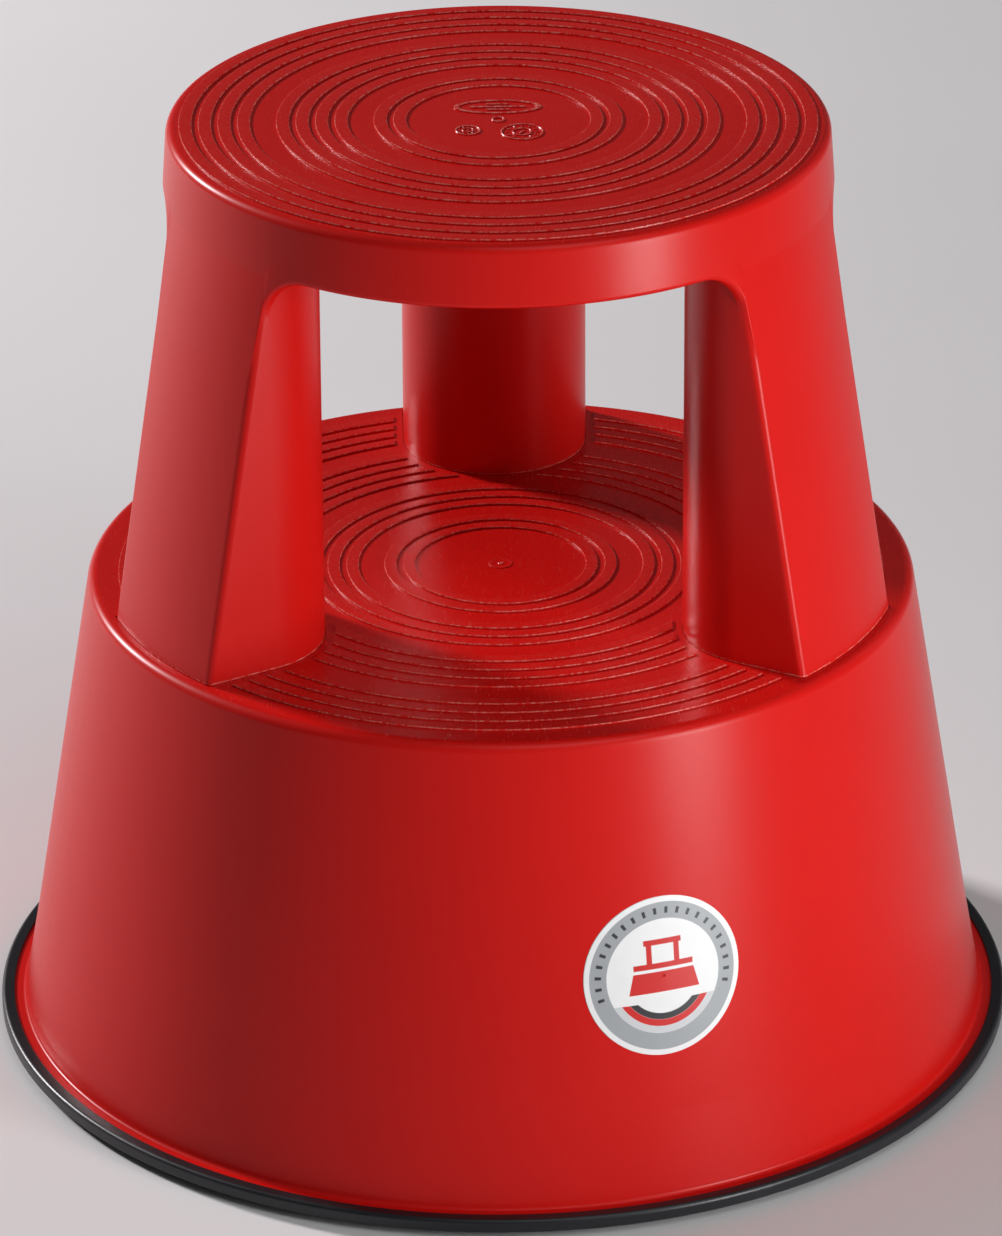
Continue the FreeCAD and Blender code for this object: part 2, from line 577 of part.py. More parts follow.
def make_badge():
    """A thin round badge that follows the skirt."""
    low, high = "badge_height - 1.5 * badge_radius", "badge_height + 1.5 * badge_radius"
    cones = []
    for name, extra in (("badge_face", "badge_thick"), ("badge_back", "0")):
        cone = doc.addObject("Part::Cone", name)
        bind(cone, "Radius1", f"{skirt_radius(f'({low})')} + {extra}")
        bind(cone, "Radius2", f"{skirt_radius(f'({high})')} + {extra}")
        bind(cone, "Height", "3 * badge_radius")
        bind(cone, "Placement.Base.z", low)
        cones.append(cone)
    skin = doc.addObject("Part::Cut", "badge_skin")
    skin.Base, skin.Tool = cones
    punch = doc.addObject("Part::Cylinder", "badge_punch")
    bind(punch, "Radius", "badge_radius")
    bind(punch, "Height", "2 * badge_radius")
    tilt = math.degrees(math.atan(number_of(SKIRT_SLOPE)))
    facing = Rotation(Vector(0, 0, 1), number_of("badge_azimuth")) * Rotation(Vector(0, 1, 0), 90 - tilt)
    punch.Placement = Placement(Vector(), facing)
    reach = f"({skirt_radius('badge_height')} - badge_radius)"
    bind(punch, "Placement.Base.x", f"{reach} * cos(badge_azimuth)")
    bind(punch, "Placement.Base.y", f"{reach} * sin(badge_azimuth)")
    bind(punch, "Placement.Base.z", f"badge_height - badge_radius * {SKIRT_SLOPE}")
    badge = doc.addObject("Part::Common", "badge")
    badge.Base, badge.Tool = skin, punch
    badge.Label = "badge"
    parts.append(badge)


# ---------------------------------------------------------------- fasteners

def make_screws(label, places, seat):
    """Pan head screws that point up, three at each of the three stations."""
    body = new_body(label)
    features = []
    for name, radius, low, length in (("shank", "screw_radius", seat, "screw_length"),
                                      ("head", "screw_head_radius", f"{seat} - screw_head_height",
                                       "screw_head_height")):
        plan = sketch_on(body, f"{label}_{name}_plan", "XY_Plane", level=low)
        for x, y in places:
            circle(plan, radius, x, y)
        features.append(raised(body, f"{label}_{name}", plan, length))
    recess = sketch_on(body, f"{label}_recess_plan", "XY_Plane", level=f"{seat} - screw_head_height")
    for x, y in places:
        cross(recess, x, y)
    features.append(raised(body, f"{label}_recess", recess, "screw_head_height / 2", "Pocket", reverse=True))
    repeated(body, f"{label}_all", features, 3)


def make_leg_screw_washers():
    body = new_body("leg_screw_washers")
    plan = sketch_on(body, "washer_plan", "XY_Plane", level=f"{DECK_UNDER} - screw_washer_thick")
    for x, y in leg_screw_places():
        circle(plan, "screw_washer_radius", x, y)
        circle(plan, SCREW_HOLE, x, y)
    washers = raised(body, "washers", plan, "screw_washer_thick")
    repeated(body, "washers_all", [washers], 3)


# ---------------------------------------------------------------- castors

def stand(body, azimuth, turn="0"):
    """Place a castor piece, drawn about its own swivel axis, at its station."""
    bind(body, "Placement.Base.x", f"castor_circle * cos({azimuth})")
    bind(body, "Placement.Base.y", f"castor_circle * sin({azimuth})")
    bind(body, "Placement.Rotation.Angle", f"{azimuth} + {turn}")


def turned_piece(label, points):
    """A piece turned about the swivel axis."""
    body = new_body(label)
    section = sketch_on(body, f"{label}_section", "YZ_Plane")
    polygon(section, points)
    turned(body, f"{label}_turned", section)
    return body


def wheel_piece(label, points):
    """A piece turned about the axle; points are radius and distance along the axle."""
    body = new_body(label)
    section = sketch_on(body, f"{label}_section", "XY_Plane", level="wheel_radius", along="trail")
    polygon(section, points)
    turned(body, f"{label}_turned", section)
    return body


def make_castor_plate(label):
    body = new_body(label)
    plan = sketch_on(body, f"{label}_plan", "XY_Plane", level=PLATE_LOW)
    circle(plan, "plate_radius")
    circle(plan, BUSH_RADIUS)
    for angle in BOSS_ANGLES:
        circle(plan, SCREW_HOLE, f"plate_screw_circle * cos({angle + 90})",
               f"plate_screw_circle * sin({angle + 90})")
    raised(body, f"{label}_sheet", plan, "plate_thick")
    return body


def make_guide_bush(label):
    return turned_piece(label, [(BUSH_BORE, BUSH_LOW), ("bush_flange_radius", BUSH_LOW),
                                ("bush_flange_radius", PLATE_LOW), (BUSH_RADIUS, PLATE_LOW),
                                (BUSH_RADIUS, BUSH_TOP), (BUSH_BORE, BUSH_TOP)])


def make_spring(label):
    """Compression spring around the stem."""
    body = new_body(label)
    low = f"({SPRING_SEAT} + seat_gap + spring_wire)"
    high = f"({BUSH_LOW} - seat_gap - spring_wire)"
    section = sketch_on(body, f"{label}_section", "XZ_Plane")
    circle(section, "spring_wire", "stem_radius + spring_gap + spring_wire", low)
    coil = body.newObject("PartDesign::AdditiveHelix", f"{label}_coil")
    coil.Profile = section
    coil.ReferenceAxis = (section, ["V_Axis"])
    coil.Mode = "height-turns-angle"
    bind(coil, "Height", f"{high} - {low}")
    bind(coil, "Turns", "spring_turns")
    body.Tip = coil
    return body


def make_plunger(label):
    """Flange, stem with a clip groove, and a blind hole for the king pin."""
    groove = "stem_radius - clip_groove"
    stem_top, hole_top = f"{CLIP_TOP} + stem_end", f"{PLUNGER_LOW} + pin_grip"
    return turned_piece(label, [("pin_radius", PLUNGER_LOW), ("plunger_flange_radius", PLUNGER_LOW),
                                ("plunger_flange_radius", SPRING_SEAT), ("stem_radius", SPRING_SEAT),
                                ("stem_radius", CLIP_LOW), (groove, CLIP_LOW), (groove, CLIP_TOP),
                                ("stem_radius", CLIP_TOP), ("stem_radius", stem_top), ("0", stem_top),
                                ("0", hole_top), ("pin_radius", hole_top)])


def make_retaining_clip(label):
    """Open ring in the plunger's groove."""
    body = new_body(label)
    plan = sketch_on(body, f"{label}_plan", "XY_Plane", level=CLIP_LOW)
    circle(plan, "clip_radius")
    circle(plan, "stem_radius - clip_groove")
    raised(body, f"{label}_ring", plan, "clip_thick")
    slot = sketch_on(body, f"{label}_slot_plan", "XY_Plane", level=CLIP_LOW)
    box_outline(slot, "0", "2 * clip_radius", "-stem_radius / 2", "stem_radius / 2")
    raised(body, f"{label}_slot", slot, "clip_thick", "Pocket", reverse=True)
    return body


def make_king_pin(label):
    head_top = f"({CROWN_LOW} - spin_gap)"
    pin_top = f"{PLUNGER_LOW} + pin_grip"
    head_low = f"({head_top} - pin_head)"
    return turned_piece(label, [("0", head_low), ("pin_head_radius", head_low),
                                ("pin_head_radius", head_top), ("pin_radius", head_top),
                                ("pin_radius", pin_top), ("0", pin_top)])


def make_thrust_washer(label):
    bore = "pin_radius + spin_gap"
    return turned_piece(label, [(bore, WASHER_LOW), ("thrust_washer_radius", WASHER_LOW),
                                ("thrust_washer_radius", PLUNGER_LOW), (bore, PLUNGER_LOW)])


def make_fork(label):
    """Pressed fork: round crown and two cheeks that hold the axle."""
    body = new_body(label)
    crown_plan = sketch_on(body, f"{label}_crown_plan", "XY_Plane", level=CROWN_LOW)
    circle(crown_plan, "crown_radius")
    raised(body, f"{label}_crown", crown_plan, "fork_sheet")
    cheek_plan = sketch_on(body, f"{label}_cheek_plan", "XZ_Plane")
    polygon(cheek_plan, [("fork_sheet * 2 - crown_radius", CROWN_TOP),
                         ("crown_radius - fork_sheet", CROWN_TOP),
                         ("trail + cheek_eye_radius", "wheel_radius"),
                         ("trail - cheek_eye_radius", "wheel_radius")])
    raised(body, f"{label}_cheeks", cheek_plan, f"2 * {CHEEK_OUTSIDE}", side="Symmetric")
    eye_plan = sketch_on(body, f"{label}_eye_plan", "XZ_Plane")
    circle(eye_plan, "cheek_eye_radius", "trail", "wheel_radius")
    raised(body, f"{label}_eyes", eye_plan, f"2 * {CHEEK_OUTSIDE}", side="Symmetric")
    room_plan = sketch_on(body, f"{label}_room_plan", "XZ_Plane")
    box_outline(room_plan, "-2 * crown_radius", "2 * crown_radius + trail", "0", CROWN_LOW)
    raised(body, f"{label}_room", room_plan, f"2 * {CHEEK_INSIDE}", "Pocket", side="Symmetric")
    axle_plan = sketch_on(body, f"{label}_axle_plan", "XZ_Plane")
    circle(axle_plan, "axle_radius", "trail", "wheel_radius")
    raised(body, f"{label}_axle_holes", axle_plan, f"2 * {CHEEK_OUTSIDE}", "Pocket", side="Symmetric")
    pin_plan = sketch_on(body, f"{label}_pin_plan", "XY_Plane", level=CROWN_LOW)
    circle(pin_plan, "pin_radius + running_gap")
    raised(body, f"{label}_pin_hole", pin_plan, "fork_sheet", "Pocket", reverse=True)
    return body


def make_axle(label):
    end = f"({CHEEK_OUTSIDE} + axle_head)"
    return wheel_piece(label, [("0", f"-{end}"), ("axle_head_radius", f"-{end}"),
                               ("axle_head_radius", f"-{CHEEK_OUTSIDE}"),
                               ("axle_radius", f"-{CHEEK_OUTSIDE}"), ("axle_radius", CHEEK_OUTSIDE),
                               ("axle_head_radius", CHEEK_OUTSIDE),
                               ("axle_head_radius", end), ("0", end)])


def make_wheel_hub(label):
    """Boss, web and rim."""
    bore, rim, half = "axle_radius + running_gap", "tyre_inner_radius - rim_thick", "wheel_width / 2"
    boss, web = "wheel_width / 2 + hub_overhang", "web_thick / 2"
    upper = [("hub_boss_radius", boss), ("hub_boss_radius", web), (rim, web), (rim, half),
             ("tyre_inner_radius", half)]
    lower = [(x, f"-({y})") for x, y in reversed(upper)]
    return wheel_piece(label, [(bore, f"-({boss})"), (bore, boss)] + upper + lower)


def make_tyre(label):
    half = "wheel_width / 2"
    body = wheel_piece(label, [("tyre_inner_radius", f"-{half}"), ("wheel_radius", f"-{half}"),
                               ("wheel_radius", half), ("tyre_inner_radius", half)])
    outside = number_of("wheel_radius")
    rounded(body, f"{label}_round", "tyre_edge", lambda edge: is_circle(edge, outside))
    return body


CASTOR_PIECES = (
    (make_castor_plate, "castor_plate", "0"), (make_guide_bush, "guide_bush", "0"),
    (make_spring, "spring", "0"), (make_plunger, "plunger", "castor_turn"),
    (make_retaining_clip, "retaining_clip", "castor_turn"), (make_king_pin, "king_pin", "castor_turn"),
    (make_thrust_washer, "thrust_washer", "castor_turn"), (make_fork, "fork", "castor_turn"),
    (make_axle, "axle", "castor_turn"), (make_wheel_hub, "wheel_hub", "castor_turn"),
    (make_tyre, "tyre", "castor_turn"),
)

make_upper_step()
make_lower_shell()
make_floor_ring()
make_badge()
make_screws("leg_screws", leg_screw_places(), f"({DECK_UNDER} - screw_washer_thick)")
make_leg_screw_washers()
make_screws("plate_screws", plate_screw_places(), PLATE_LOW)
for station, azimuth in enumerate(CASTOR_AZIMUTHS, 1):
    for make, label, turn in CASTOR_PIECES:
        stand(make(f"{label}_{station}"), azimuth, turn)

doc.recompute()
for thing in doc.Objects:
    if "Invalid" in thing.State or "Error" in thing.State:
        raise RuntimeError(f"{thing.Label} did not rebuild: {thing.State}")
for part in parts:
    if part.Shape.isNull() or not part.Shape.isValid():
        raise RuntimeError(f"{part.Label} has no valid shape")

os.makedirs("parts", exist_ok=True)
for part in parts:
    part.Shape.exportStep(f"parts/{part.Label}.step")
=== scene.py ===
"""Kick step stool: red ribbed mouldings, rubber floor ring, badge and three sprung castors."""
import math

import bpy
from mathutils import Matrix, Vector
from mathutils.kdtree import KDTree


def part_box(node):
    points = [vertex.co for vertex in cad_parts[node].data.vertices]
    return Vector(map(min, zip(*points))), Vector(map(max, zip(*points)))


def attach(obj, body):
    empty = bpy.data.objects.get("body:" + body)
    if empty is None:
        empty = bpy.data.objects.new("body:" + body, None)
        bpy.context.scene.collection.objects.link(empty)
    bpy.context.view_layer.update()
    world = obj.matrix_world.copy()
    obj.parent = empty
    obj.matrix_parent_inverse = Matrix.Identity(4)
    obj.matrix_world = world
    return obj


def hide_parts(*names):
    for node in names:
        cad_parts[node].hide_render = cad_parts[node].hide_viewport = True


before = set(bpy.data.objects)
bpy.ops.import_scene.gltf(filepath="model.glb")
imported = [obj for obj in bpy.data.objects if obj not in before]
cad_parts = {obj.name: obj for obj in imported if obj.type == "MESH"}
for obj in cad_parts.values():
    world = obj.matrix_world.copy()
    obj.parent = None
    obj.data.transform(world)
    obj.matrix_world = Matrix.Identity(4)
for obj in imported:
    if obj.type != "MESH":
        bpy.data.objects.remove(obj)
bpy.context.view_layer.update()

MM = 0.001
SMOOTH_ANGLE = math.radians(32)
RING_TURNS = 384
ON_OUTLINE = 0.02
ON_CIRCLE = 0.05
LEVEL_SLACK = 0.1

# ---------------------------------------------------------------- sizes, in millimetres

STEP_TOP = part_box("upper_step")[1].z / MM
DECK_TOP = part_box("lower_shell")[1].z / MM
FLANGE_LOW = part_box("lower_shell")[0].z / MM
RING_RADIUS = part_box("floor_ring")[1].x / MM
RING_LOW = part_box("floor_ring")[0].z / MM
RING_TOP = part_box("floor_ring")[1].z / MM
FOOT_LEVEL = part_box("upper_step")[0].z / MM
PLATE_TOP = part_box("castor_plate_1")[1].z / MM

TREAD_RADIUS = 145
TREAD_EDGE = 4
BAND_RADIUS = 147
BAND_DEPTH = 29
WALL = 4
RIB_RISE = 0.9
RIB_PITCH = 8.5
RIB_ROUND = 0.45
RIB_SEAT = 0.6
# innermost radius, width, and the places in the pitch that carry a ring
TREAD_RIB = (40.1, 5.8, (0, 1, 3, 4, 5, 6, 8, 9, 10, 11))
DECK_RIB = (38.1, 5.5, (0, 1, 3, 4, 5, 7, 8, 9, 10, 12, 13, 14, 15))

RELIEF = 0.6
RELIEF_ROUND = 0.25
OVAL_Y = 15
OVAL_RADIUS = 7.5
OVAL_LINE = 1.1
OVAL_STRETCH = 2.4
BARS = ((24, 1.2, 0), (10, 1.0, 3.2), (10, 1.0, -3.2))
EYE_RADIUS = 2.6
DIALS = ((-13.5, -12.5, 5.2), (10, -15, 9.0))
DIAL_LINE = 0.8
DIAL_HUB = 0.45
DIAL_HUB_LINE = 0.7
DIAL_POINTER = 0.5
DIAL_POINTER_HEADING = 60
DIAL_TICKS = 12
DIAL_TICK_PLACE = 0.74
DIAL_TICK = 0.16
DIAL_TICK_LINE = 0.45

LEG_AZIMUTHS = (90, 210, 330)
CASTOR_AZIMUTHS = (30, 150, 270)
LEG_CENTRE = 139.5
LEG_HALF = 42.3
LEG_WALL = 3.5
LEG_FOOT_RADIUS = 178
LEG_EDGE = 2.4
WINDOW_CORNER = 19
FOOT_GAP = 0.3
FOOT_MARGIN = 4.5

DECK_RADIUS = 184.4
DECK_EDGE = 5
DECK_WALL = 4.5
SKIRT_FOOT_RADIUS = 218.3
FLANGE_RADIUS = 226.5
FLANGE_THICK = 3
SKIRT_ROOT = 2
SEAM_LEVEL = 47
SEAM_HEIGHT = 0.5
SEAM_DEPTH = 0.07
DECK_EYE = 3
# radius and height above the deck, from the rim to the middle
GATE_STEPS = ((5.5, 0.1), (5.1, 0.35), (4.2, 0.35), (3.8, 0.15), (1.4, 0.15), (1.0, 0.5))
GATE_RADIUS = 5.5
GATE_SEAT = 0.3
RIB_THICK = 2.6
RIB_SPOKES = 12
RIB_SPOKE_TURN = 15
RIB_BITE = 1
RIB_HUB = 26
RIB_RING = 95
TREAD_RIB_DEPTH = 12
DECK_RIB_DEPTH = 18
RING_LIP = 1
RING_LIP_RADIUS = 224
RING_INNER = 219
RING_EDGE = 2
RING_HEEL = 0.6
CASTOR_CIRCLE = 152
TOWER_RADIUS = 20
TOWER_BORE = 16.5
BOSS_RADIUS = 5
BOSS_HEIGHT = 25
SCREW_RADIUS = 1.7
PLATE_SCREW_CIRCLE = 24

TREAD_PLANE = STEP_TOP - RIB_RISE
TREAD_UNDER = TREAD_PLANE - WALL
BAND_LOW = STEP_TOP - BAND_DEPTH
CORNER_LOW = BAND_LOW - WINDOW_CORNER
DECK_PLANE = DECK_TOP - RIB_RISE
DECK_UNDER = DECK_PLANE - DECK_WALL
FLANGE_TOP = FLANGE_LOW + FLANGE_THICK

BADGE_RADIUS = 36
BADGE_THICK = 0.4
BADGE_HEIGHT = 107.9
BADGE_AZIMUTH = 289
# distance in from the rim, and height off the skirt
BADGE_RIM = ((0, 0.02), (0, 0.22), (0.15, 0.36))
BADGE_ROWS = (0.99, 0.8, 0.6, 0.4, 0.2, 0.02)


def leg_cone(level):
    """Radius of the legs' outer faces at a level."""
    slope = (LEG_FOOT_RADIUS - BAND_RADIUS) / (BAND_LOW - DECK_TOP)
    return BAND_RADIUS + slope * (BAND_LOW - level)


def band(level):
    """Radius of the band at a level."""
    return BAND_RADIUS + (TREAD_RADIUS - BAND_RADIUS) * (level - BAND_LOW) / (TREAD_PLANE - BAND_LOW)


def upper_wall(level):
    return leg_cone(level) if level < BAND_LOW else band(level)


def skirt(level):
    """Radius of the skirt at a level."""
    slope = (SKIRT_FOOT_RADIUS - DECK_RADIUS) / (DECK_PLANE - FLANGE_TOP)
    return DECK_RADIUS + slope * (DECK_PLANE - level)


def steps(start, end, count):
    """Evenly spaced values, both ends included."""
    return [start + (end - start) * index / count for index in range(count + 1)]


def polar(radius, angle, level):
    """A point at an angle from +Y, clockwise seen from above."""
    return Vector((radius * math.sin(angle), radius * math.cos(angle), level))


# ---------------------------------------------------------------- modelling

def only(piece):
    """Select one object and make it active."""
    bpy.ops.object.select_all(action="DESELECT")
    piece.select_set(True)
    bpy.context.view_layer.objects.active = piece
    return piece


def added():
    """The primitive just added, with its place moved into its mesh."""
    piece = only(bpy.context.object)
    bpy.ops.object.transform_apply(location=True, rotation=True, scale=True)
    return piece


def bent_grid(rows):
    """A grid primitive laid on rows of points."""
    bpy.ops.mesh.primitive_grid_add(x_subdivisions=len(rows[0]) - 1, y_subdivisions=len(rows) - 1, size=1)
    piece = added()
    for vertex, point in zip(piece.data.vertices, (point for row in rows for point in row)):
        vertex.co = Vector(point) * MM
    return piece


def joined(name, pieces):
    """Several objects made one."""
    bpy.ops.object.select_all(action="DESELECT")
    for piece in pieces:
        piece.select_set(True)
    bpy.context.view_layer.objects.active = pieces[0]
    bpy.ops.object.join()
    piece = bpy.context.object
    piece.name = name
    piece.data.name = name
    return piece


def editing(piece, mode="EDGE"):
    only(piece)
    bpy.ops.object.mode_set(mode="EDIT")
    bpy.ops.mesh.select_mode(type=mode)
    bpy.ops.mesh.select_all(action="DESELECT")


def done():
    bpy.ops.object.mode_set(mode="OBJECT")


def choose(piece, kind, test):
    """Select the edges or faces whose centres pass a test, in edit mode."""
    bpy.ops.mesh.select_all(action="DESELECT")
    bpy.ops.object.mode_set(mode="OBJECT")
    mesh = piece.data
    for item in getattr(mesh, kind):
        corners = [mesh.vertices[index].co / MM for index in item.vertices]
        item.select = test(corners)
    bpy.ops.object.mode_set(mode="EDIT")


def weld(piece, distance=1e-6):
    """Merge doubled points and turn all faces outward."""
    editing(piece, "VERT")
    bpy.ops.mesh.select_all(action="SELECT")
    bpy.ops.mesh.remove_doubles(threshold=distance)
    bpy.ops.mesh.normals_make_consistent(inside=False)
    done()


def modified(piece, kind, **settings):
    """Add a modifier and apply it."""
    only(piece)
    modifier = piece.modifiers.new(kind.title(), kind)
    for key, setting in settings.items():
        setattr(modifier, key, setting)
    bpy.ops.object.modifier_apply(modifier=modifier.name)
    return piece


def cut(piece, tool):
    """Take a tool's shape out of a piece; the tool is used up."""
    modified(piece, "BOOLEAN", object=tool, operation="DIFFERENCE", solver="EXACT")
    bpy.data.objects.remove(tool)
    return piece


def smooth(piece, angle=SMOOTH_ANGLE):
    """Shade round faces smooth and keep the flat ones flat."""
    only(piece)
    bpy.ops.object.shade_smooth_by_angle(angle=angle)
    return modified(piece, "WEIGHTED_NORMAL", keep_sharp=True)


def softened(piece, width, segments=2, angle=35):
    """Round the sharp edges."""
    return modified(piece, "BEVEL", width=width * MM, segments=segments, limit_method="ANGLE",
                    angle_limit=math.radians(angle), use_clamp_overlap=True)


def spun(name, outline, turns=256):
    """A closed outline of (radius, level) points spun about the stool's axis."""
    bpy.ops.mesh.primitive_circle_add(vertices=len(outline), radius=1, fill_type="NOTHING")
    piece = added()
    for vertex, (radius, level) in zip(piece.data.vertices, outline):
        vertex.co = (radius * MM, 0, level * MM)
    editing(piece, "VERT")
    bpy.ops.mesh.select_all(action="SELECT")
    bpy.ops.mesh.spin(steps=turns, angle=math.tau, center=(0, 0, 0), axis=(0, 0, 1))
    done()
    weld(piece)
    piece.name = name
    return piece


def turned_copies(piece, azimuths, drawn_at):
    """Copies of a piece at each azimuth; the piece itself is used up."""
    copies = []
    for azimuth in azimuths:
        copy = piece.copy()
        copy.data = piece.data.copy()
        bpy.context.collection.objects.link(copy)
        copy.data.transform(Matrix.Rotation(math.radians(azimuth - drawn_at), 4, "Z"))
        copies.append(copy)
    bpy.data.objects.remove(piece)
    return copies


def prism(outline, low, high):
    """A closed outline of (x, y) points raised between two levels."""
    bpy.ops.mesh.primitive_circle_add(vertices=len(outline), radius=1, fill_type="NGON")
    piece = added()
    for vertex, (x, y) in zip(piece.data.vertices, outline):
        vertex.co = (x * MM, y * MM, low * MM)
    editing(piece, "FACE")
    bpy.ops.mesh.select_all(action="SELECT")
    bpy.ops.mesh.extrude_region_move(TRANSFORM_OT_translate={"value": (0, 0, (high - low) * MM)})
    done()
    weld(piece)
    return piece


def loop_tool(rows):
    """A closed tool from a stack of closed outlines."""
    tool = bent_grid([row + row[:1] for row in rows])
    weld(tool)
    closed(tool)
    return tool


def closed(piece):
    """Fill every open loop and turn all faces outward."""
    editing(piece)
    bpy.ops.mesh.select_all(action="SELECT")
    bpy.ops.mesh.fill_holes(sides=0)
    bpy.ops.mesh.select_all(action="SELECT")
    bpy.ops.mesh.normals_make_consistent(inside=False)
    done()


def fin(outline, thick, azimuth):
    """An upright plate from an outline of (radius, level) points, set at an azimuth."""
    plate = prism(outline, -thick / 2, thick / 2)
    upright = Matrix(((1, 0, 0, 0), (0, 0, -1, 0), (0, 1, 0, 0), (0, 0, 0, 1)))
    plate.data.transform(Matrix.Rotation(math.radians(azimuth), 4, "Z") @ upright)
    return plate


def moved(piece, x, y):
    piece.data.transform(Matrix.Translation((x * MM, y * MM, 0)))
    return piece


def under_ribs(reach, slope, top, depth):
    """Radial fins and two rings under a plate; they run a little into it."""
    low, high = top - depth, top + RIB_BITE
    pieces = [fin([(RIB_HUB, low), (reach + slope * depth, low), (reach, high), (RIB_HUB, high)],
                  RIB_THICK, RIB_SPOKE_TURN + step * 360 / RIB_SPOKES) for step in range(RIB_SPOKES)]
    for radius in (RIB_HUB, RIB_RING):
        inner, outer = radius - RIB_THICK / 2, radius + RIB_THICK / 2
        pieces.append(spun("rib_ring", [(inner, low), (outer, low), (outer, high), (inner, high)], 128))
    return pieces


def is_ring(level, radius=None):
    """A test for edges that run round the stool's axis at a level."""
    def test(ends):
        flat = all(abs(end.z - level) < ON_OUTLINE for end in ends)
        round_axis = abs(ends[0].xy.length - ends[1].xy.length) < ON_OUTLINE
        return flat and round_axis and (radius is None or abs(ends[0].xy.length - radius) < ON_CIRCLE)
    return test


# ---------------------------------------------------------------- upper step

NOSE_STEPS = 28
SIDE_STEPS = 24
CORNER_STEPS = 14
WINDOW_STEPS = 24
CREASE_BLEND = 0.012
LEG_ROWS = 8


def leg_point(x, radius, level):
    return Vector((x, math.sqrt(radius ** 2 - x ** 2), level))


def nose(level, half=LEG_HALF, start=0.0):
    """The round nose of a leg, from its right side to its left."""
    return [Vector((half * math.cos(angle), LEG_CENTRE - half * math.sin(angle), level))
            for angle in steps(start, math.pi - start, NOSE_STEPS)]


def mirrored(points):
    """The same points on the other side of the leg, in the opposite order."""
    return [Vector((-point.x, point.y, point.z)) for point in reversed(points)]


def nose_meeting(radius, level):
    """Where a leg's nose meets a circle about the stool's axis, and the nose beyond it."""
    y = (radius ** 2 + LEG_CENTRE ** 2 - LEG_HALF ** 2) / (2 * LEG_CENTRE)
    x = math.sqrt(radius ** 2 - y ** 2)
    meeting = [Vector((x, y, level))]
    return meeting + nose(level, start=math.atan2(LEG_CENTRE - y, x)) + mirrored(meeting)


def half_outline(inset):
    """The window's outline from a leg's right side round to the middle of the window."""
    points = []
    for angle in steps(0, math.pi / 2, CORNER_STEPS):
        level = CORNER_LOW + WINDOW_CORNER * math.sin(angle)
        x = LEG_HALF + WINDOW_CORNER * (1 - math.cos(angle))
        points.append(leg_point(x, upper_wall(level) - inset, level))
    start = math.atan2(points[-1].x, points[-1].y)
    points += [polar(BAND_RADIUS - inset, angle, BAND_LOW)
               for angle in steps(start, math.pi / 3, WINDOW_STEPS)[1:]]
    return points


def carried(points, share, inset, top):
    """Points carried a share of the way up the wall."""
    rows = []
    for point in points:
        level = point.z + (top - point.z) * share
        rows.append(polar(upper_wall(level) - inset, math.atan2(point.x, point.y), level))
    return rows


def across_leg(level, inset=0):
    """The leg's outer face at a level, from left to right."""
    half = LEG_HALF - inset
    return [leg_point(half * share, leg_cone(level) - inset, level) for share in steps(-1, 1, SIDE_STEPS)]


def leg_sector():
    """One third of the skin, around the leg that stands at +Y, and its upper outline."""
    right = half_outline(0)
    edge = mirrored(right)[:-1] + across_leg(CORNER_LOW)[:-1] + right
    crease = (BAND_LOW - CORNER_LOW) / (TREAD_PLANE - CORNER_LOW)
    shares = (crease - CREASE_BLEND, crease, crease + CREASE_BLEND, (1 + crease) / 2, 1)
    rows = [edge] + [carried(edge, share, 0, TREAD_PLANE) for share in shares]
    levels = steps(FOOT_LEVEL, CORNER_LOW, LEG_ROWS)
    tube = []
    for level in levels:
        side = [leg_point(LEG_HALF, leg_cone(level) - depth, level) for depth in (0, WALL)]
        tube.append(side + nose(level) + mirrored(side))
    shoulder = leg_point(LEG_HALF, leg_cone(CORNER_LOW) - WALL, CORNER_LOW)
    neck = [[shoulder] + nose(CORNER_LOW) + mirrored([shoulder]),
            nose_meeting(BAND_RADIUS - WALL, BAND_LOW), nose_meeting(TREAD_RADIUS - WALL, TREAD_UNDER)]
    pieces = [bent_grid(rows), bent_grid([across_leg(level) for level in levels]), bent_grid(tube),
              bent_grid(neck)]
    inner = half_outline(WALL)
    middle = [polar(BAND_RADIUS - WALL, math.atan2(point.x, point.y), BAND_LOW) for point in inner]
    top = [polar(TREAD_RADIUS - WALL, math.atan2(point.x, point.y), TREAD_UNDER) for point in inner]
    middle[0], top[0] = neck[1][0], neck[2][0]
    for rows in ([right, inner], [inner, middle, top]):
        pieces += [bent_grid(rows), bent_grid([mirrored(row) for row in rows])]
    return joined("sector", pieces), edge


def tread_disc(edge):
    """The tread's top with its raised rings, from the rim to the middle."""
    start, width, numbers = TREAD_RIB
    angles = [math.atan2(point.x, point.y) + third * math.tau / 3
              for third in range(3) for point in edge[:-1]]
    angles.append(angles[0] + math.tau)
    profile = [(TREAD_RADIUS, TREAD_PLANE)]
    for number in reversed(numbers):
        inner = start + number * RIB_PITCH
        profile += [(inner + width, TREAD_PLANE), (inner + width, STEP_TOP), (inner, STEP_TOP),
                    (inner, TREAD_PLANE)]
    return bent_grid([[polar(radius, angle, level) for angle in angles] for radius, level in profile])


def leg_hollow():
    """The space inside the leg that stands at +Y."""
    rows = []
    for level in steps(FOOT_LEVEL - 2, CORNER_LOW, LEG_ROWS):
        rows.append(across_leg(level, LEG_WALL) + nose(level, LEG_HALF - LEG_WALL))
    return loop_tool(rows)


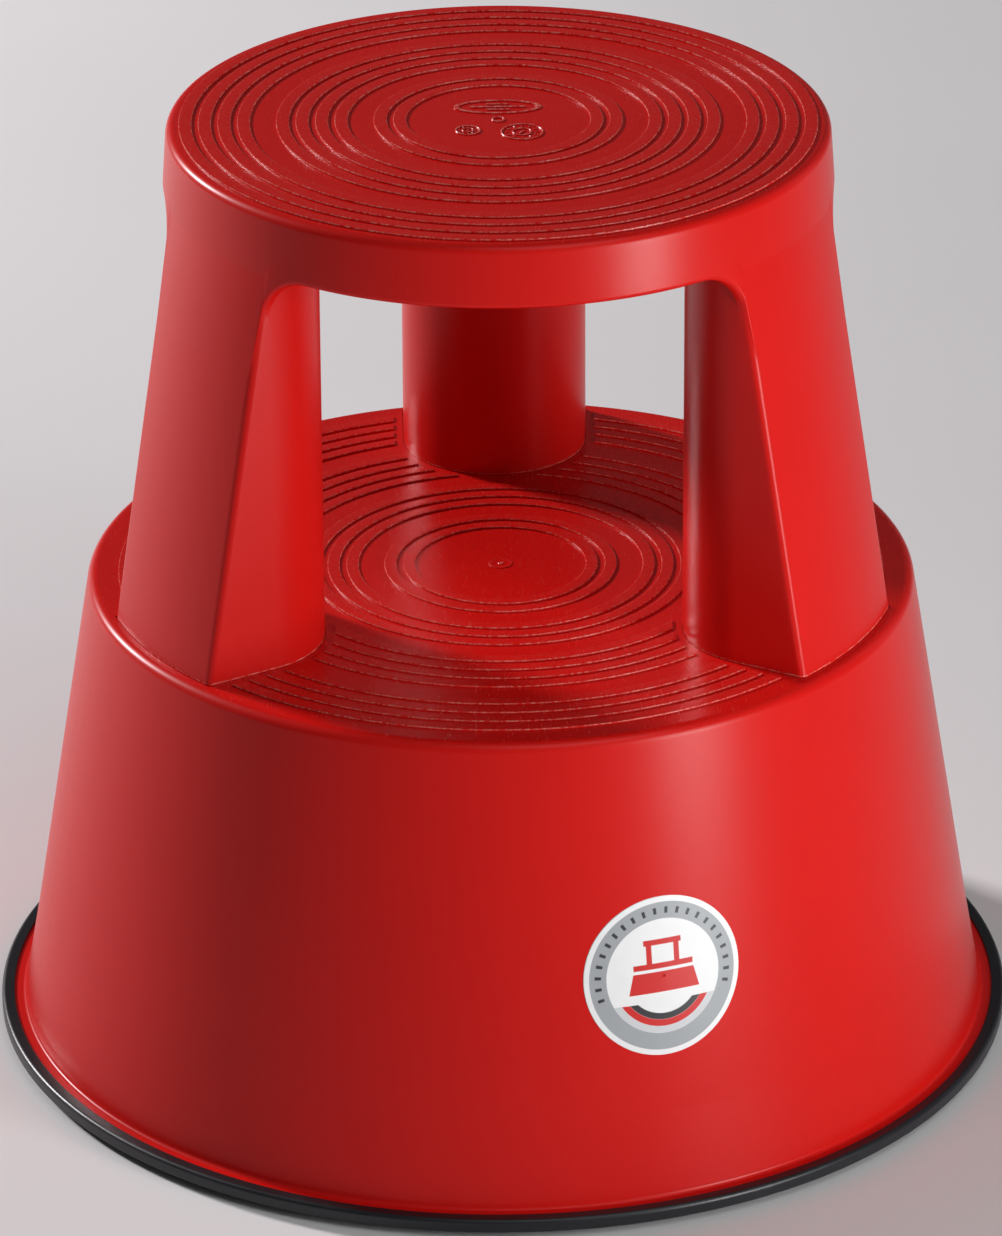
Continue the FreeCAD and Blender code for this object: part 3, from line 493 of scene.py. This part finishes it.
def make_upper_step():
    """Tread, band and three hollow legs."""
    sector, edge = leg_sector()
    step = joined("upper_step_moulding", turned_copies(sector, LEG_AZIMUTHS, 90) + [tread_disc(edge)])
    weld(step, 2e-6)
    closed(step)
    outline = [turn(point, azimuth) for azimuth in LEG_AZIMUTHS
               for half in (half_outline(0), mirrored(half_outline(0))) for point in half]
    lookup = KDTree(len(outline))
    for index, point in enumerate(outline):
        lookup.insert(point, index)
    lookup.balance()

    def on_window(ends):
        return all(lookup.find(end)[2] < ON_OUTLINE or on_leg_edge(end) for end in ends)

    editing(step)
    choose(step, "edges", is_ring(STEP_TOP))
    bpy.ops.mesh.bevel(offset=RIB_ROUND * MM, segments=2, affect="EDGES")
    choose(step, "edges", is_ring(TREAD_PLANE, TREAD_RADIUS))
    bpy.ops.mesh.bevel(offset=TREAD_EDGE * MM, segments=8, affect="EDGES")
    choose(step, "edges", on_window)
    bpy.ops.mesh.bevel(offset=LEG_EDGE * MM, segments=4, affect="EDGES")
    done()
    for hollow in turned_copies(leg_hollow(), LEG_AZIMUTHS, 90):
        cut(step, hollow)
    ribs = under_ribs(TREAD_RADIUS - WALL / 2, 0, TREAD_UNDER, TREAD_RIB_DEPTH)
    return smooth(joined("upper_step_moulding", [step] + ribs + tread_marks()))


def relief_ring(radius, width, x, y, stretch=1.0, turns=64):
    """A low raised ring on the tread, round or oval."""
    low, high = TREAD_PLANE - RELIEF, TREAD_PLANE + RELIEF
    inner, outer = radius - width / 2, radius + width / 2
    outline = [(inner, low), (outer, low), (outer, high - RELIEF_ROUND), (outer - RELIEF_ROUND, high),
               (inner + RELIEF_ROUND, high), (inner, high - RELIEF_ROUND)]
    ring = spun("ring", outline, turns)
    ring.data.transform(Matrix.Diagonal((stretch, 1, 1, 1)))
    return moved(ring, x, y)


def relief_bar(length, width, x, y, heading=0):
    """A low raised bar on the tread."""
    bar = prism([(-length / 2, -width / 2), (length / 2, -width / 2), (length / 2, width / 2),
                 (-length / 2, width / 2)], TREAD_PLANE - RELIEF, TREAD_PLANE + RELIEF)
    softened(bar, RELIEF_ROUND, 1)
    bar.data.transform(Matrix.Rotation(math.radians(heading), 4, "Z"))
    return moved(bar, x, y)


def tread_marks():
    """Plain mould marks in the middle of the tread: an oval, two date dials and the gate disc."""
    marks = [relief_ring(OVAL_RADIUS, OVAL_LINE, 0, OVAL_Y, OVAL_STRETCH, turns=96),
             relief_ring(EYE_RADIUS, DIAL_LINE, 0, 0, turns=40)]
    marks += [relief_bar(length, width, 0, OVAL_Y + rise) for length, width, rise in BARS]
    for x, y, radius in DIALS:
        marks += [relief_ring(radius, DIAL_LINE, x, y),
                  relief_ring(radius * DIAL_HUB, DIAL_HUB_LINE, x, y, turns=32),
                  relief_bar(radius * DIAL_POINTER, DIAL_HUB_LINE, x, y, DIAL_POINTER_HEADING)]
        out = radius * DIAL_TICK_PLACE
        for heading in range(0, 360, 360 // DIAL_TICKS):
            spot = math.radians(heading)
            marks.append(relief_bar(radius * DIAL_TICK, DIAL_TICK_LINE, x + out * math.cos(spot),
                                    y + out * math.sin(spot), heading))
    return marks


def turn(point, azimuth):
    """A point of the leg at +Y as it is on the leg at an azimuth."""
    return Matrix.Rotation(math.radians(azimuth - 90), 3, "Z") @ point


def on_leg_edge(point):
    """Whether a point lies on a leg's outer vertical edge."""
    if not FOOT_LEVEL - LEVEL_SLACK < point.z < CORNER_LOW + LEVEL_SLACK:
        return False
    for azimuth in LEG_AZIMUTHS:
        local = turn(point, 180 - azimuth)
        on_side = abs(abs(local.x) - LEG_HALF) < ON_CIRCLE
        if on_side and abs(local.xy.length - leg_cone(point.z)) < ON_CIRCLE:
            return local.y > 0
    return False


# ---------------------------------------------------------------- lower shell

def arc(centre, radius, start, end, count):
    """Points of an arc in (radius, level), between two angles in degrees."""
    angles = [math.radians(angle) for angle in steps(start, end, count)]
    return [(centre[0] + radius * math.cos(angle), centre[1] + radius * math.sin(angle)) for angle in angles]


def shell_outline():
    """Section of deck, skirt and flange."""
    tilt = math.degrees(math.atan((SKIRT_FOOT_RADIUS - DECK_RADIUS) / (DECK_PLANE - FLANGE_TOP)))
    reach = DECK_EDGE * math.tan(math.radians((90 - tilt) / 2))
    edge_centre = (DECK_RADIUS - reach, DECK_PLANE - DECK_EDGE)
    root_centre = (SKIRT_FOOT_RADIUS + SKIRT_ROOT * math.tan(math.radians((90 + tilt) / 2)),
                   FLANGE_TOP + SKIRT_ROOT)
    outline = [(DECK_EYE, DECK_PLANE)] + arc(edge_centre, DECK_EDGE, 90, tilt, 8)
    for rise, depth in ((SEAM_HEIGHT, 0), (0, SEAM_DEPTH), (-SEAM_HEIGHT, 0)):
        outline.append((skirt(SEAM_LEVEL + rise) - depth, SEAM_LEVEL + rise))
    outline += arc(root_centre, SKIRT_ROOT, 180 + tilt, 270, 5)
    outline += [(FLANGE_RADIUS, FLANGE_TOP), (FLANGE_RADIUS, FLANGE_LOW)]
    outline += [(skirt(level) - WALL, level) for level in (FLANGE_LOW, DECK_UNDER)]
    return outline + [(DECK_EYE, DECK_UNDER)]


def leg_foot(gap, low, high):
    """A prism around the foot of the leg at +Y, with a gap all round."""
    level = DECK_PLANE
    half, far = LEG_HALF + gap, leg_cone(level) + gap
    spread = math.atan2(half, math.sqrt(far ** 2 - half ** 2))
    back = [polar(far, angle, 0) for angle in steps(-spread, spread, SIDE_STEPS)]
    outline = [(point.x, point.y) for point in back + nose(level, half)]
    return prism(outline, low, high)


def deck_rings():
    """Raised rings on the deck, left out around the legs' feet."""
    start, width, numbers = DECK_RIB
    low = DECK_PLANE - RIB_SEAT
    rings = []
    for number in numbers:
        inner = start + number * RIB_PITCH
        outer = inner + width
        shoulders = arc((outer - RIB_ROUND, DECK_TOP - RIB_ROUND), RIB_ROUND, 0, 90, 2)
        shoulders += arc((inner + RIB_ROUND, DECK_TOP - RIB_ROUND), RIB_ROUND, 90, 180, 2)
        rings.append(spun("ring", [(inner, low), (outer, low)] + shoulders))
    rings = joined("deck_rings", rings)
    for foot in turned_copies(leg_foot(FOOT_MARGIN, low - 1, DECK_TOP + 1), LEG_AZIMUTHS, 90):
        cut(rings, foot)
    return rings


def tower():
    """One castor tower with its screw bosses and brace, under -Y."""
    high = DECK_UNDER + RIB_BITE
    tube = [(TOWER_BORE, PLATE_TOP), (TOWER_RADIUS, PLATE_TOP), (TOWER_RADIUS, high), (TOWER_BORE, high)]
    boss = [(SCREW_RADIUS, PLATE_TOP), (BOSS_RADIUS, PLATE_TOP), (BOSS_RADIUS, PLATE_TOP + BOSS_HEIGHT),
            (SCREW_RADIUS, PLATE_TOP + BOSS_HEIGHT)]
    pieces = [moved(spun("tower", tube, 64), 0, -CASTOR_CIRCLE)]
    for azimuth in LEG_AZIMUTHS:
        x = PLATE_SCREW_CIRCLE * math.cos(math.radians(azimuth))
        y = PLATE_SCREW_CIRCLE * math.sin(math.radians(azimuth)) - CASTOR_CIRCLE
        pieces.append(moved(spun("boss", boss, 32), x, y))
    near = CASTOR_CIRCLE + (TOWER_RADIUS + TOWER_BORE) / 2
    pieces.append(fin([(near, PLATE_TOP), (skirt(PLATE_TOP) - WALL / 2, PLATE_TOP),
                       (skirt(high) - WALL / 2, high), (near, high)], RIB_THICK, 270))
    return joined("tower", pieces)


def make_lower_shell():
    """Deck, skirt, flange, towers and the ribs under the deck."""
    shell = spun("shell", shell_outline(), RING_TURNS)
    for seat in turned_copies(leg_foot(FOOT_GAP, FOOT_LEVEL, DECK_TOP + 3), LEG_AZIMUTHS, 90):
        cut(shell, seat)
    slope = (SKIRT_FOOT_RADIUS - DECK_RADIUS) / (DECK_PLANE - FLANGE_TOP)
    pieces = [shell, deck_rings(), gate_mark()]
    pieces += turned_copies(tower(), CASTOR_AZIMUTHS, 270)
    pieces += under_ribs(skirt(DECK_UNDER) - WALL / 2, slope, DECK_UNDER, DECK_RIB_DEPTH)
    return smooth(joined("lower_shell_moulding", pieces))


def gate_mark():
    """The small round scar where the plastic was fed in; it closes the middle of the deck."""
    outline = [(GATE_RADIUS, DECK_PLANE - DECK_WALL - GATE_SEAT)]
    return spun_disc(outline + [(radius, DECK_PLANE + height) for radius, height in GATE_STEPS], 48)


def spun_disc(outline, turns):
    """A solid disc from an open outline that ends near the axis at both levels."""
    rows = [[polar(radius, angle, level) for angle in steps(0, math.tau, turns)] for radius, level in outline]
    piece = bent_grid(rows)
    weld(piece)
    closed(piece)
    return piece


# ---------------------------------------------------------------- floor ring and badge

def make_floor_ring():
    """Rubber ring that grips the flange, with a rounded shoulder and a bead at its lip."""
    shoulder = arc((RING_RADIUS - RING_EDGE, RING_TOP - RING_EDGE), RING_EDGE, 0, 90, 6)
    heel = arc((RING_RADIUS - RING_HEEL, RING_LOW + RING_HEEL), RING_HEEL, -90, 0, 3)
    lip = arc((RING_LIP_RADIUS + RING_LIP / 2, RING_TOP - RING_LIP / 2), RING_LIP / 2, 90, 180, 4)
    outline = [(RING_INNER, RING_LOW)] + heel + shoulder + lip
    outline += [(RING_LIP_RADIUS, FLANGE_TOP), (FLANGE_RADIUS, FLANGE_TOP), (FLANGE_RADIUS, FLANGE_LOW),
                (RING_INNER, FLANGE_LOW)]
    return smooth(spun("floor_ring_rubber", outline, RING_TURNS), math.radians(50))


def make_badge():
    """A thin round sticker that follows the skirt, with its own flat map for the print."""
    slant = math.atan((SKIRT_FOOT_RADIUS - DECK_RADIUS) / (DECK_PLANE - FLANGE_TOP))
    outline = [(BADGE_RADIUS - inset, height) for inset, height in BADGE_RIM]
    outline += [(BADGE_RADIUS * share, BADGE_THICK) for share in BADGE_ROWS]
    flat = [[polar(radius, angle, height) for angle in steps(0, math.tau, 128)] for radius, height in outline]
    rows = []
    for row in flat:
        points = []
        for spot in row:
            level = BADGE_HEIGHT + spot.y * math.cos(slant)
            radius = skirt(level)
            azimuth = math.radians(BADGE_AZIMUTH) + spot.x / radius
            out = radius + spot.z
            points.append((out * math.cos(azimuth), out * math.sin(azimuth), level))
        rows.append(points)
    badge = bent_grid(rows)
    badge.name = "badge_sticker"
    layer = badge.data.uv_layers[0]
    layer.name = "print"
    spots = [spot for row in flat for spot in row]
    for corner in badge.data.loops:
        spot = spots[corner.vertex_index]
        layer.data[corner.index].uv = (spot.x / BADGE_RADIUS, spot.y / BADGE_RADIUS)
    weld(badge)
    return smooth(badge)


# ---------------------------------------------------------------- shader tools

class Value:
    """A socket that takes part in Python sums."""

    def __init__(self, shader, socket):
        self.shader = shader
        self.socket = socket

    def maths(self, operation, *others, first=None):
        sockets = [self if first is None else first, *others]
        return self.shader.node("Math", {"operation": operation}, dict(enumerate(sockets)))

    def __add__(self, other):
        return self.maths("ADD", other)

    def __sub__(self, other):
        return self.maths("SUBTRACT", other)

    def __rsub__(self, other):
        return self.maths("SUBTRACT", self, first=other)

    def __mul__(self, other):
        return self.maths("MULTIPLY", other)

    def __pow__(self, other):
        return self.maths("POWER", other)

    def __gt__(self, other):
        return self.maths("GREATER_THAN", other)

    def __lt__(self, other):
        return self.maths("LESS_THAN", other)

    __radd__ = __add__
    __rmul__ = __mul__


class Shader:
    """One material's node tree."""

    def __init__(self, name):
        self.material = bpy.data.materials.new(name)
        self.material.use_nodes = True
        self.tree = self.material.node_tree
        self.surface = self.tree.nodes["Principled BSDF"]

    def node(self, kind, settings=None, inputs=None, output=0):
        """Add a node; its settings come first, then the values or links of its sockets."""
        made = self.tree.nodes.new(f"ShaderNode{kind}")
        for key, setting in (settings or {}).items():
            if key == "stops":
                ramp = made.color_ramp
                while len(ramp.elements) < len(setting):
                    ramp.elements.new(0.5)
                for element, (place, shade) in zip(ramp.elements, setting):
                    element.position = place
                    element.color = (*shade, 1) if isinstance(shade, tuple) else (shade, shade, shade, 1)
            else:
                setattr(made, key, setting)
        for key, value in (inputs or {}).items():
            self.feed(made.inputs[key], value)
        return Value(self, made.outputs[output])

    def feed(self, socket, value):
        if isinstance(value, Value):
            self.tree.links.new(value.socket, socket)
        elif isinstance(value, tuple) and len(value) == 3 and len(socket.default_value) == 4:
            socket.default_value = (*value, 1)
        else:
            socket.default_value = value

    def place(self):
        return self.node("TexCoord", output="Object")

    def noise(self, scale, detail=3, roughness=0.5, place=None, stretch=None):
        spot = place or self.place()
        if stretch:
            spot = self.node("Mapping", inputs={"Vector": spot, "Scale": stretch})
        return self.node("TexNoise", inputs={"Vector": spot, "Scale": scale, "Detail": detail,
                                             "Roughness": roughness})

    def ramp(self, value, *stops):
        return self.node("ValToRGB", {"stops": stops}, {"Fac": value})

    def mix(self, share, first, second):
        made = self.node("Mix", {"data_type": "RGBA"}, {0: share, 6: first, 7: second})
        return Value(self, made.socket.node.outputs[2])

    def bump(self, height, strength, distance):
        return self.node("Bump", inputs={"Height": height, "Strength": strength, "Distance": distance})

    def finish(self, **inputs):
        """Set the surface's sockets; underscores stand for spaces."""
        for key, value in inputs.items():
            self.feed(self.surface.inputs[key.replace("_", " ").title().replace("Ior", "IOR")], value)
        return self.material


def between(value, low, high, blur):
    """A soft mask that is 1 between two limits."""
    rise = value.shader.node("MapRange", {"interpolation_type": "SMOOTHSTEP"},
                             {"Value": value, "From Min": low - blur, "From Max": low + blur})
    fall = value.shader.node("MapRange", {"interpolation_type": "SMOOTHSTEP"},
                             {"Value": value, "From Min": high - blur, "From Max": high + blur})
    return rise * (1 - fall)


# ---------------------------------------------------------------- finishes

RED_DEEP = (0.55, 0.006, 0.005)
RED_BRIGHT = (0.63, 0.009, 0.006)
RED_WORN = (0.72, 0.07, 0.05)
# pale pink used for the dust specks and also for the painted glint highlights on the rib edges
RED_DUST_AND_GLINT = (0.75, 0.30, 0.25)
PRINT_WHITE = (0.86, 0.86, 0.86)
PRINT_GREY = (0.36, 0.38, 0.40)
PRINT_DARK = (0.03, 0.03, 0.035)
PRINT_RED = (0.62, 0.015, 0.012)
PRINT_PALE = (0.62, 0.63, 0.65)
PRINT_BLUR = 0.006
PRINT_RING = 0.93
PRINT_TICKS = 36
PRINT_TICK_REACH = (0.785, 0.865)
PRINT_ARCS = (0.47, 0.55, 0.635, 0.72)
PRINT_ARC_TOP = -0.32


def red_plastic():
    """Moulded plastic; the treads are a little glossier, with scuffs and dust, and a painted highlight: pale
    glints along the rib edges.
    """
    shader = Shader("red_plastic")
    place = shader.place()
    level = shader.node("SeparateXYZ", inputs={"Vector": place}, output=2)
    top = between(level, (DECK_PLANE - 0.5) * MM, (DECK_TOP + 0.4) * MM, 0.2 * MM)
    top = top + between(level, (TREAD_PLANE - 0.5) * MM, (STEP_TOP + 0.4) * MM, 0.2 * MM)
    cloud = shader.noise(scale=9, detail=4, roughness=0.55, place=place)
    flow = shader.noise(scale=26, detail=3, roughness=0.6, place=place, stretch=(1, 1, 0.25))
    grain = shader.noise(scale=2600, detail=2, roughness=0.6, place=place)
    orange = shader.noise(scale=210, detail=2, roughness=0.5, place=place)
    scratch = shader.noise(scale=520, detail=3, roughness=0.7, place=place, stretch=(1, 0.16, 1))
    scuff = shader.ramp(scratch, (0.62, 0.0), (0.72, 1.0))
    speck = shader.noise(scale=900, detail=2, roughness=0.5, place=place)
    dust = shader.ramp(speck, (0.66, 0.0), (0.78, 1.0))
    tone = shader.mix(cloud, RED_DEEP, RED_BRIGHT)
    tone = shader.mix(top * scuff * 0.16, tone, RED_WORN)
    tone = shader.mix(top * dust * 0.2, tone, RED_DUST_AND_GLINT)
    # painted highlight: pale glints in spots along the rounded edges of the tread and deck ribs, mixed into
    # the base colour
    patch = shader.noise(scale=620, detail=3, roughness=0.7, place=place)
    glint = shader.ramp(patch, (0.40, 0.0), (0.62, 1.0))
    painted_glint_edges = between(level, (DECK_TOP - 0.5) * MM, (DECK_TOP - 0.06) * MM, 0.08 * MM)
    painted_glint_edges = painted_glint_edges + between(level, (STEP_TOP - 0.5) * MM, (STEP_TOP - 0.06) * MM, 0.08 * MM)
    tone = shader.mix(painted_glint_edges * glint * 0.8, tone, RED_DUST_AND_GLINT)
    rough = 0.29 + 0.05 * flow - top * 0.05 + top * scuff * 0.1
    relief = orange * 0.35 + grain * (0.06 + 0.5 * top)
    return shader.finish(base_color=tone, roughness=rough, normal=shader.bump(relief, 0.16, 0.00035),
                         specular_ior_level=0.2)


def ring_rubber():
    """Black rubber with a faint bloom."""
    shader = Shader("ring_rubber")
    place = shader.place()
    cloud = shader.noise(scale=34, detail=5, roughness=0.6, place=place)
    grain = shader.noise(scale=1500, detail=2, roughness=0.6, place=place)
    tone = shader.mix(cloud, (0.005, 0.006, 0.008), (0.012, 0.014, 0.018))
    lint = shader.noise(scale=700, detail=2, roughness=0.5, place=place)
    speck = shader.ramp(lint, (0.68, 0.0), (0.8, 1.0))
    tone = shader.mix(speck * 0.2, tone, (0.08, 0.08, 0.085))
    return shader.finish(base_color=tone, roughness=0.27 + 0.2 * cloud,
                         normal=shader.bump(grain, 0.35, 0.0002), ior=1.5)


def tyre_rubber():
    shader = Shader("tyre_rubber")
    place = shader.place()
    cloud = shader.noise(scale=60, detail=4, roughness=0.6, place=place)
    grain = shader.noise(scale=1900, detail=2, roughness=0.6, place=place)
    tone = shader.mix(cloud, (0.13, 0.13, 0.134), (0.19, 0.19, 0.194))
    return shader.finish(base_color=tone, roughness=0.5 + 0.2 * cloud, normal=shader.bump(grain, 0.3, 0.0002))


def moulded_plastic(name, dark, light, rough):
    """Matte moulded plastic with a fine spark-eroded grain."""
    shader = Shader(name)
    place = shader.place()
    cloud = shader.noise(scale=70, detail=3, roughness=0.5, place=place)
    grain = shader.noise(scale=1700, detail=3, roughness=0.65, place=place)
    return shader.finish(base_color=shader.mix(cloud, dark, light), roughness=rough + 0.12 * cloud,
                         normal=shader.bump(grain, 0.22, 0.0002))


def plated_steel(name, dark, light, rough, streak):
    """Plated or drawn steel: a cloudy skin with fine streaks."""
    shader = Shader(name)
    place = shader.place()
    cloud = shader.noise(scale=120, detail=4, roughness=0.6, place=place)
    line = shader.noise(scale=900, detail=3, roughness=0.7, place=place, stretch=streak)
    stain = shader.noise(scale=420, detail=3, roughness=0.6, place=place)
    spot = shader.ramp(stain, (0.66, 0.0), (0.8, 1.0))
    tone = shader.mix(cloud, dark, light)
    tone = shader.mix(spot * 0.25, tone, (0.24, 0.22, 0.19))
    return shader.finish(base_color=tone, metallic=1.0 - 0.15 * spot, roughness=rough + 0.16 * line,
                         normal=shader.bump(line, 0.12, 0.0001))


def badge_print():
    """White sticker: a grey ring of ticks, a two-step figure and three arcs below it.

    Lengths are shares of the sticker's radius.
    """
    shader = Shader("badge_print")
    split = shader.node("SeparateXYZ", inputs={"Vector": shader.node("UVMap", {"uv_map": "print"})})
    x, y = split, Value(shader, split.socket.node.outputs[1])
    radius = (x * x + y * y) ** 0.5
    angle = y.maths("ARCTAN2", x)
    above, below = y > PRINT_ARC_TOP, y < PRINT_ARC_TOP
    ring = between(radius, PRINT_ARCS[-1], PRINT_RING, PRINT_BLUR)
    tick = between((angle * (PRINT_TICKS / math.tau)).maths("FRACT"), 0.36, 0.64, 0.03)
    tick = tick * between(radius, *PRINT_TICK_REACH, PRINT_BLUR) * above
    arcs = between(radius, PRINT_ARCS[0], PRINT_ARCS[-1], PRINT_BLUR) * below
    dark, red, pale = [between(radius, inner, outer, PRINT_BLUR) * below
                       for inner, outer in zip(PRINT_ARCS, PRINT_ARCS[1:])]
    tread = between(x, -0.24, 0.24, PRINT_BLUR) * between(y, 0.40, 0.47, PRINT_BLUR)
    legs = between(x, -0.21, -0.14, PRINT_BLUR) + between(x, 0.14, 0.21, PRINT_BLUR)
    legs = legs * between(y, 0.17, 0.40, PRINT_BLUR)
    deck = between(x, -0.38, 0.38, PRINT_BLUR) * between(y, 0.10, 0.17, PRINT_BLUR)
    reach = x.maths("ABSOLUTE") + y * 0.25
    skirt_mark = (reach < 0.40) * between(y, -0.2, 0.06, PRINT_BLUR)
    figure = (tread + legs + deck + skirt_mark).maths("MINIMUM", 1.0)
    speck = shader.noise(scale=160, detail=3, roughness=0.6)
    tone = shader.mix(ring, PRINT_WHITE, PRINT_GREY)
    tone = shader.mix(tick, tone, PRINT_DARK)
    tone = shader.mix(dark, tone, PRINT_DARK)
    tone = shader.mix(red, tone, PRINT_RED)
    tone = shader.mix(pale, tone, PRINT_PALE)
    tone = shader.mix(figure * (1 - arcs), tone, PRINT_RED)
    tone = shader.mix(speck * 0.06, tone, PRINT_DARK)
    return shader.finish(base_color=tone, roughness=0.26 + 0.1 * speck,
                         normal=shader.bump(speck, 0.05, 0.0002))


FINISHES = {
    "red_plastic": red_plastic(),
    "ring_rubber": ring_rubber(),
    "badge_print": badge_print(),
    "zinc_steel": plated_steel("zinc_steel", (0.50, 0.51, 0.52), (0.68, 0.69, 0.70), 0.26, (1, 1, 0.2)),
    "spring_steel": plated_steel("spring_steel", (0.33, 0.34, 0.36), (0.50, 0.51, 0.53), 0.24, (1, 1, 0.5)),
    "nylon": moulded_plastic("nylon", (0.70, 0.68, 0.61), (0.80, 0.79, 0.74), 0.42),
    "hub_plastic": moulded_plastic("hub_plastic", (0.028, 0.028, 0.031), (0.045, 0.045, 0.05), 0.45),
    "tyre_rubber": tyre_rubber(),
}

# ---------------------------------------------------------------- the stool

# how each piece is made, the node it stands for and its material slot
MOULDED = (
    (make_upper_step, "upper_step", "red_plastic"),
    (make_lower_shell, "lower_shell", "red_plastic"),
    (make_floor_ring, "floor_ring", "ring_rubber"),
    (make_badge, "badge", "badge_print"),
)
for make, node, slot in MOULDED:
    piece = make()
    piece.data.materials.clear()
    piece.data.materials.append(FINISHES[slot])
    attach(piece, "stool")
    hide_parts(node)

# body, material slot and width of the eased edges, for each kind of CAD node
NODE_FINISH = {
    "leg_screws": ("stool", "zinc_steel", 0.25), "leg_screw_washers": ("stool", "zinc_steel", 0.15),
    "plate_screws": ("stool", "zinc_steel", 0.25), "castor_plate": ("stool", "zinc_steel", 0.3),
    "guide_bush": ("stool", "nylon", 0.25), "plunger": ("plunger", "zinc_steel", 0.3),
    "retaining_clip": ("plunger", "spring_steel", 0.15), "king_pin": ("plunger", "zinc_steel", 0.3),
    "thrust_washer": ("plunger", "nylon", 0.2), "fork": ("fork", "zinc_steel", 0.35),
    "axle": ("fork", "zinc_steel", 0.35), "wheel_hub": ("wheel", "hub_plastic", 0.35),
    "tyre": ("wheel", "tyre_rubber", 0.2),
}


def finished_copy(name, body, slot, edge):
    """A CAD node's shape with its points merged, its edges eased and its round faces smooth."""
    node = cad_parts[name]
    piece = node.copy()
    piece.data = node.data.copy()
    for key in list(piece.keys()):
        del piece[key]
    piece.name = piece.data.name = f"{name}_finished"
    bpy.context.collection.objects.link(piece)
    piece.parent = None
    weld(piece, 2e-6)
    editing(piece, "FACE")
    bpy.ops.mesh.select_all(action="SELECT")
    bpy.ops.mesh.dissolve_limited(angle_limit=math.radians(0.5))
    done()
    softened(piece, edge, 2, 40)
    smooth(piece, math.radians(40))
    piece.data.materials.clear()
    piece.data.materials.append(FINISHES[slot])
    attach(piece, body)
    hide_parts(name)


for kind, (body, slot, edge) in NODE_FINISH.items():
    for name in list(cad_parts):
        if name == kind:
            finished_copy(name, body, slot, edge)
        elif name.rstrip("123") == kind + "_":
            number = name[-1]
            finished_copy(name, body if body == "stool" else f"{body}_{number}", slot, edge)
for number in (1, 2, 3):
    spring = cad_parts[f"spring_{number}"]
    spring.data.materials.clear()
    spring.data.materials.append(FINISHES["spring_steel"])

# ---------------------------------------------------------------- studio

FLOOR_SIZE = 14
FLOOR_SHADES = ((0.70, 0.70, 0.70), (0.74, 0.74, 0.74))
WARM = (1.0, 0.95, 0.97)
COOL = (0.82, 0.86, 1.0)
WORLD_SHADE = (0.92, 0.93, 0.95, 1)
WORLD_STRENGTH = 0.09
CAMERA_PLACE = (0, -3.028, 1.614)
CAMERA_HEADING = -1.05
CAMERA_PITCH = 25.20
CAMERA_ROLL = -0.316
CAMERA_LENS = 216.8


def pale_floor():
    bpy.ops.mesh.primitive_plane_add(size=FLOOR_SIZE)
    floor = added()
    floor.name = "studio_floor"
    shader = Shader("studio_floor")
    cloud = shader.noise(scale=3, detail=3, roughness=0.5)
    tone = shader.mix(cloud, *FLOOR_SHADES)
    floor.data.materials.append(shader.finish(base_color=tone, roughness=0.8 + 0.1 * cloud))


def soft_box(name, azimuth, elevation, distance, size, power, shade=(1, 1, 1), aim=0.3, spread=180):
    """A rectangular light around the stool, aimed at a height on its axis; degrees, metres and watts."""
    light = bpy.data.lights.new(name, "AREA")
    light.shape = "RECTANGLE"
    light.size, light.size_y = size
    light.energy = power
    light.spread = math.radians(spread)
    light.color = shade
    lamp = bpy.data.objects.new(name, light)
    bpy.context.collection.objects.link(lamp)
    turned, raised = math.radians(azimuth), math.radians(elevation)
    target = Vector((0, 0, aim))
    flat = math.cos(raised)
    away = Vector((flat * math.cos(turned), flat * math.sin(turned), math.sin(raised)))
    lamp.location = target + distance * away
    lamp.rotation_euler = away.to_track_quat("Z", "Y").to_euler()
    lamp.visible_camera = False


def studio_world():
    world = bpy.data.worlds.new("studio_world")
    world.use_nodes = True
    background = world.node_tree.nodes["Background"]
    background.inputs["Color"].default_value = WORLD_SHADE
    background.inputs["Strength"].default_value = WORLD_STRENGTH
    bpy.context.scene.world = world


def studio_camera():
    """A long lens from the front, looking down on the treads."""
    data = bpy.data.cameras.new("studio_camera")
    data.lens = CAMERA_LENS
    data.sensor_width = 36
    camera = bpy.data.objects.new("studio_camera", data)
    bpy.context.collection.objects.link(camera)
    heading = Matrix.Rotation(math.radians(CAMERA_HEADING), 4, "Z")
    camera.location = heading @ Vector(CAMERA_PLACE)
    tilt = Matrix.Rotation(math.radians(90 - CAMERA_PITCH), 4, "X")
    tilt = tilt @ Matrix.Rotation(math.radians(CAMERA_ROLL), 4, "Z")
    camera.rotation_euler = (heading @ tilt).to_euler()
    bpy.context.scene.camera = camera


pale_floor()
studio_world()
studio_camera()
soft_box("key_box", azimuth=316, elevation=0, distance=1.05, size=(0.26, 0.6), power=2.8, aim=0.35,
         spread=100)
soft_box("fill_box", azimuth=300, elevation=58, distance=3.5, size=(2.2, 1.9), power=20)
soft_box("left_lamp", azimuth=142, elevation=24, distance=4.5, size=(0.6, 0.6), power=225, shade=WARM)
soft_box("right_rim", azimuth=30, elevation=12, distance=1.6, size=(0.35, 1.2), power=0.5, shade=COOL)
bpy.context.scene.view_settings.view_transform = "Standard"
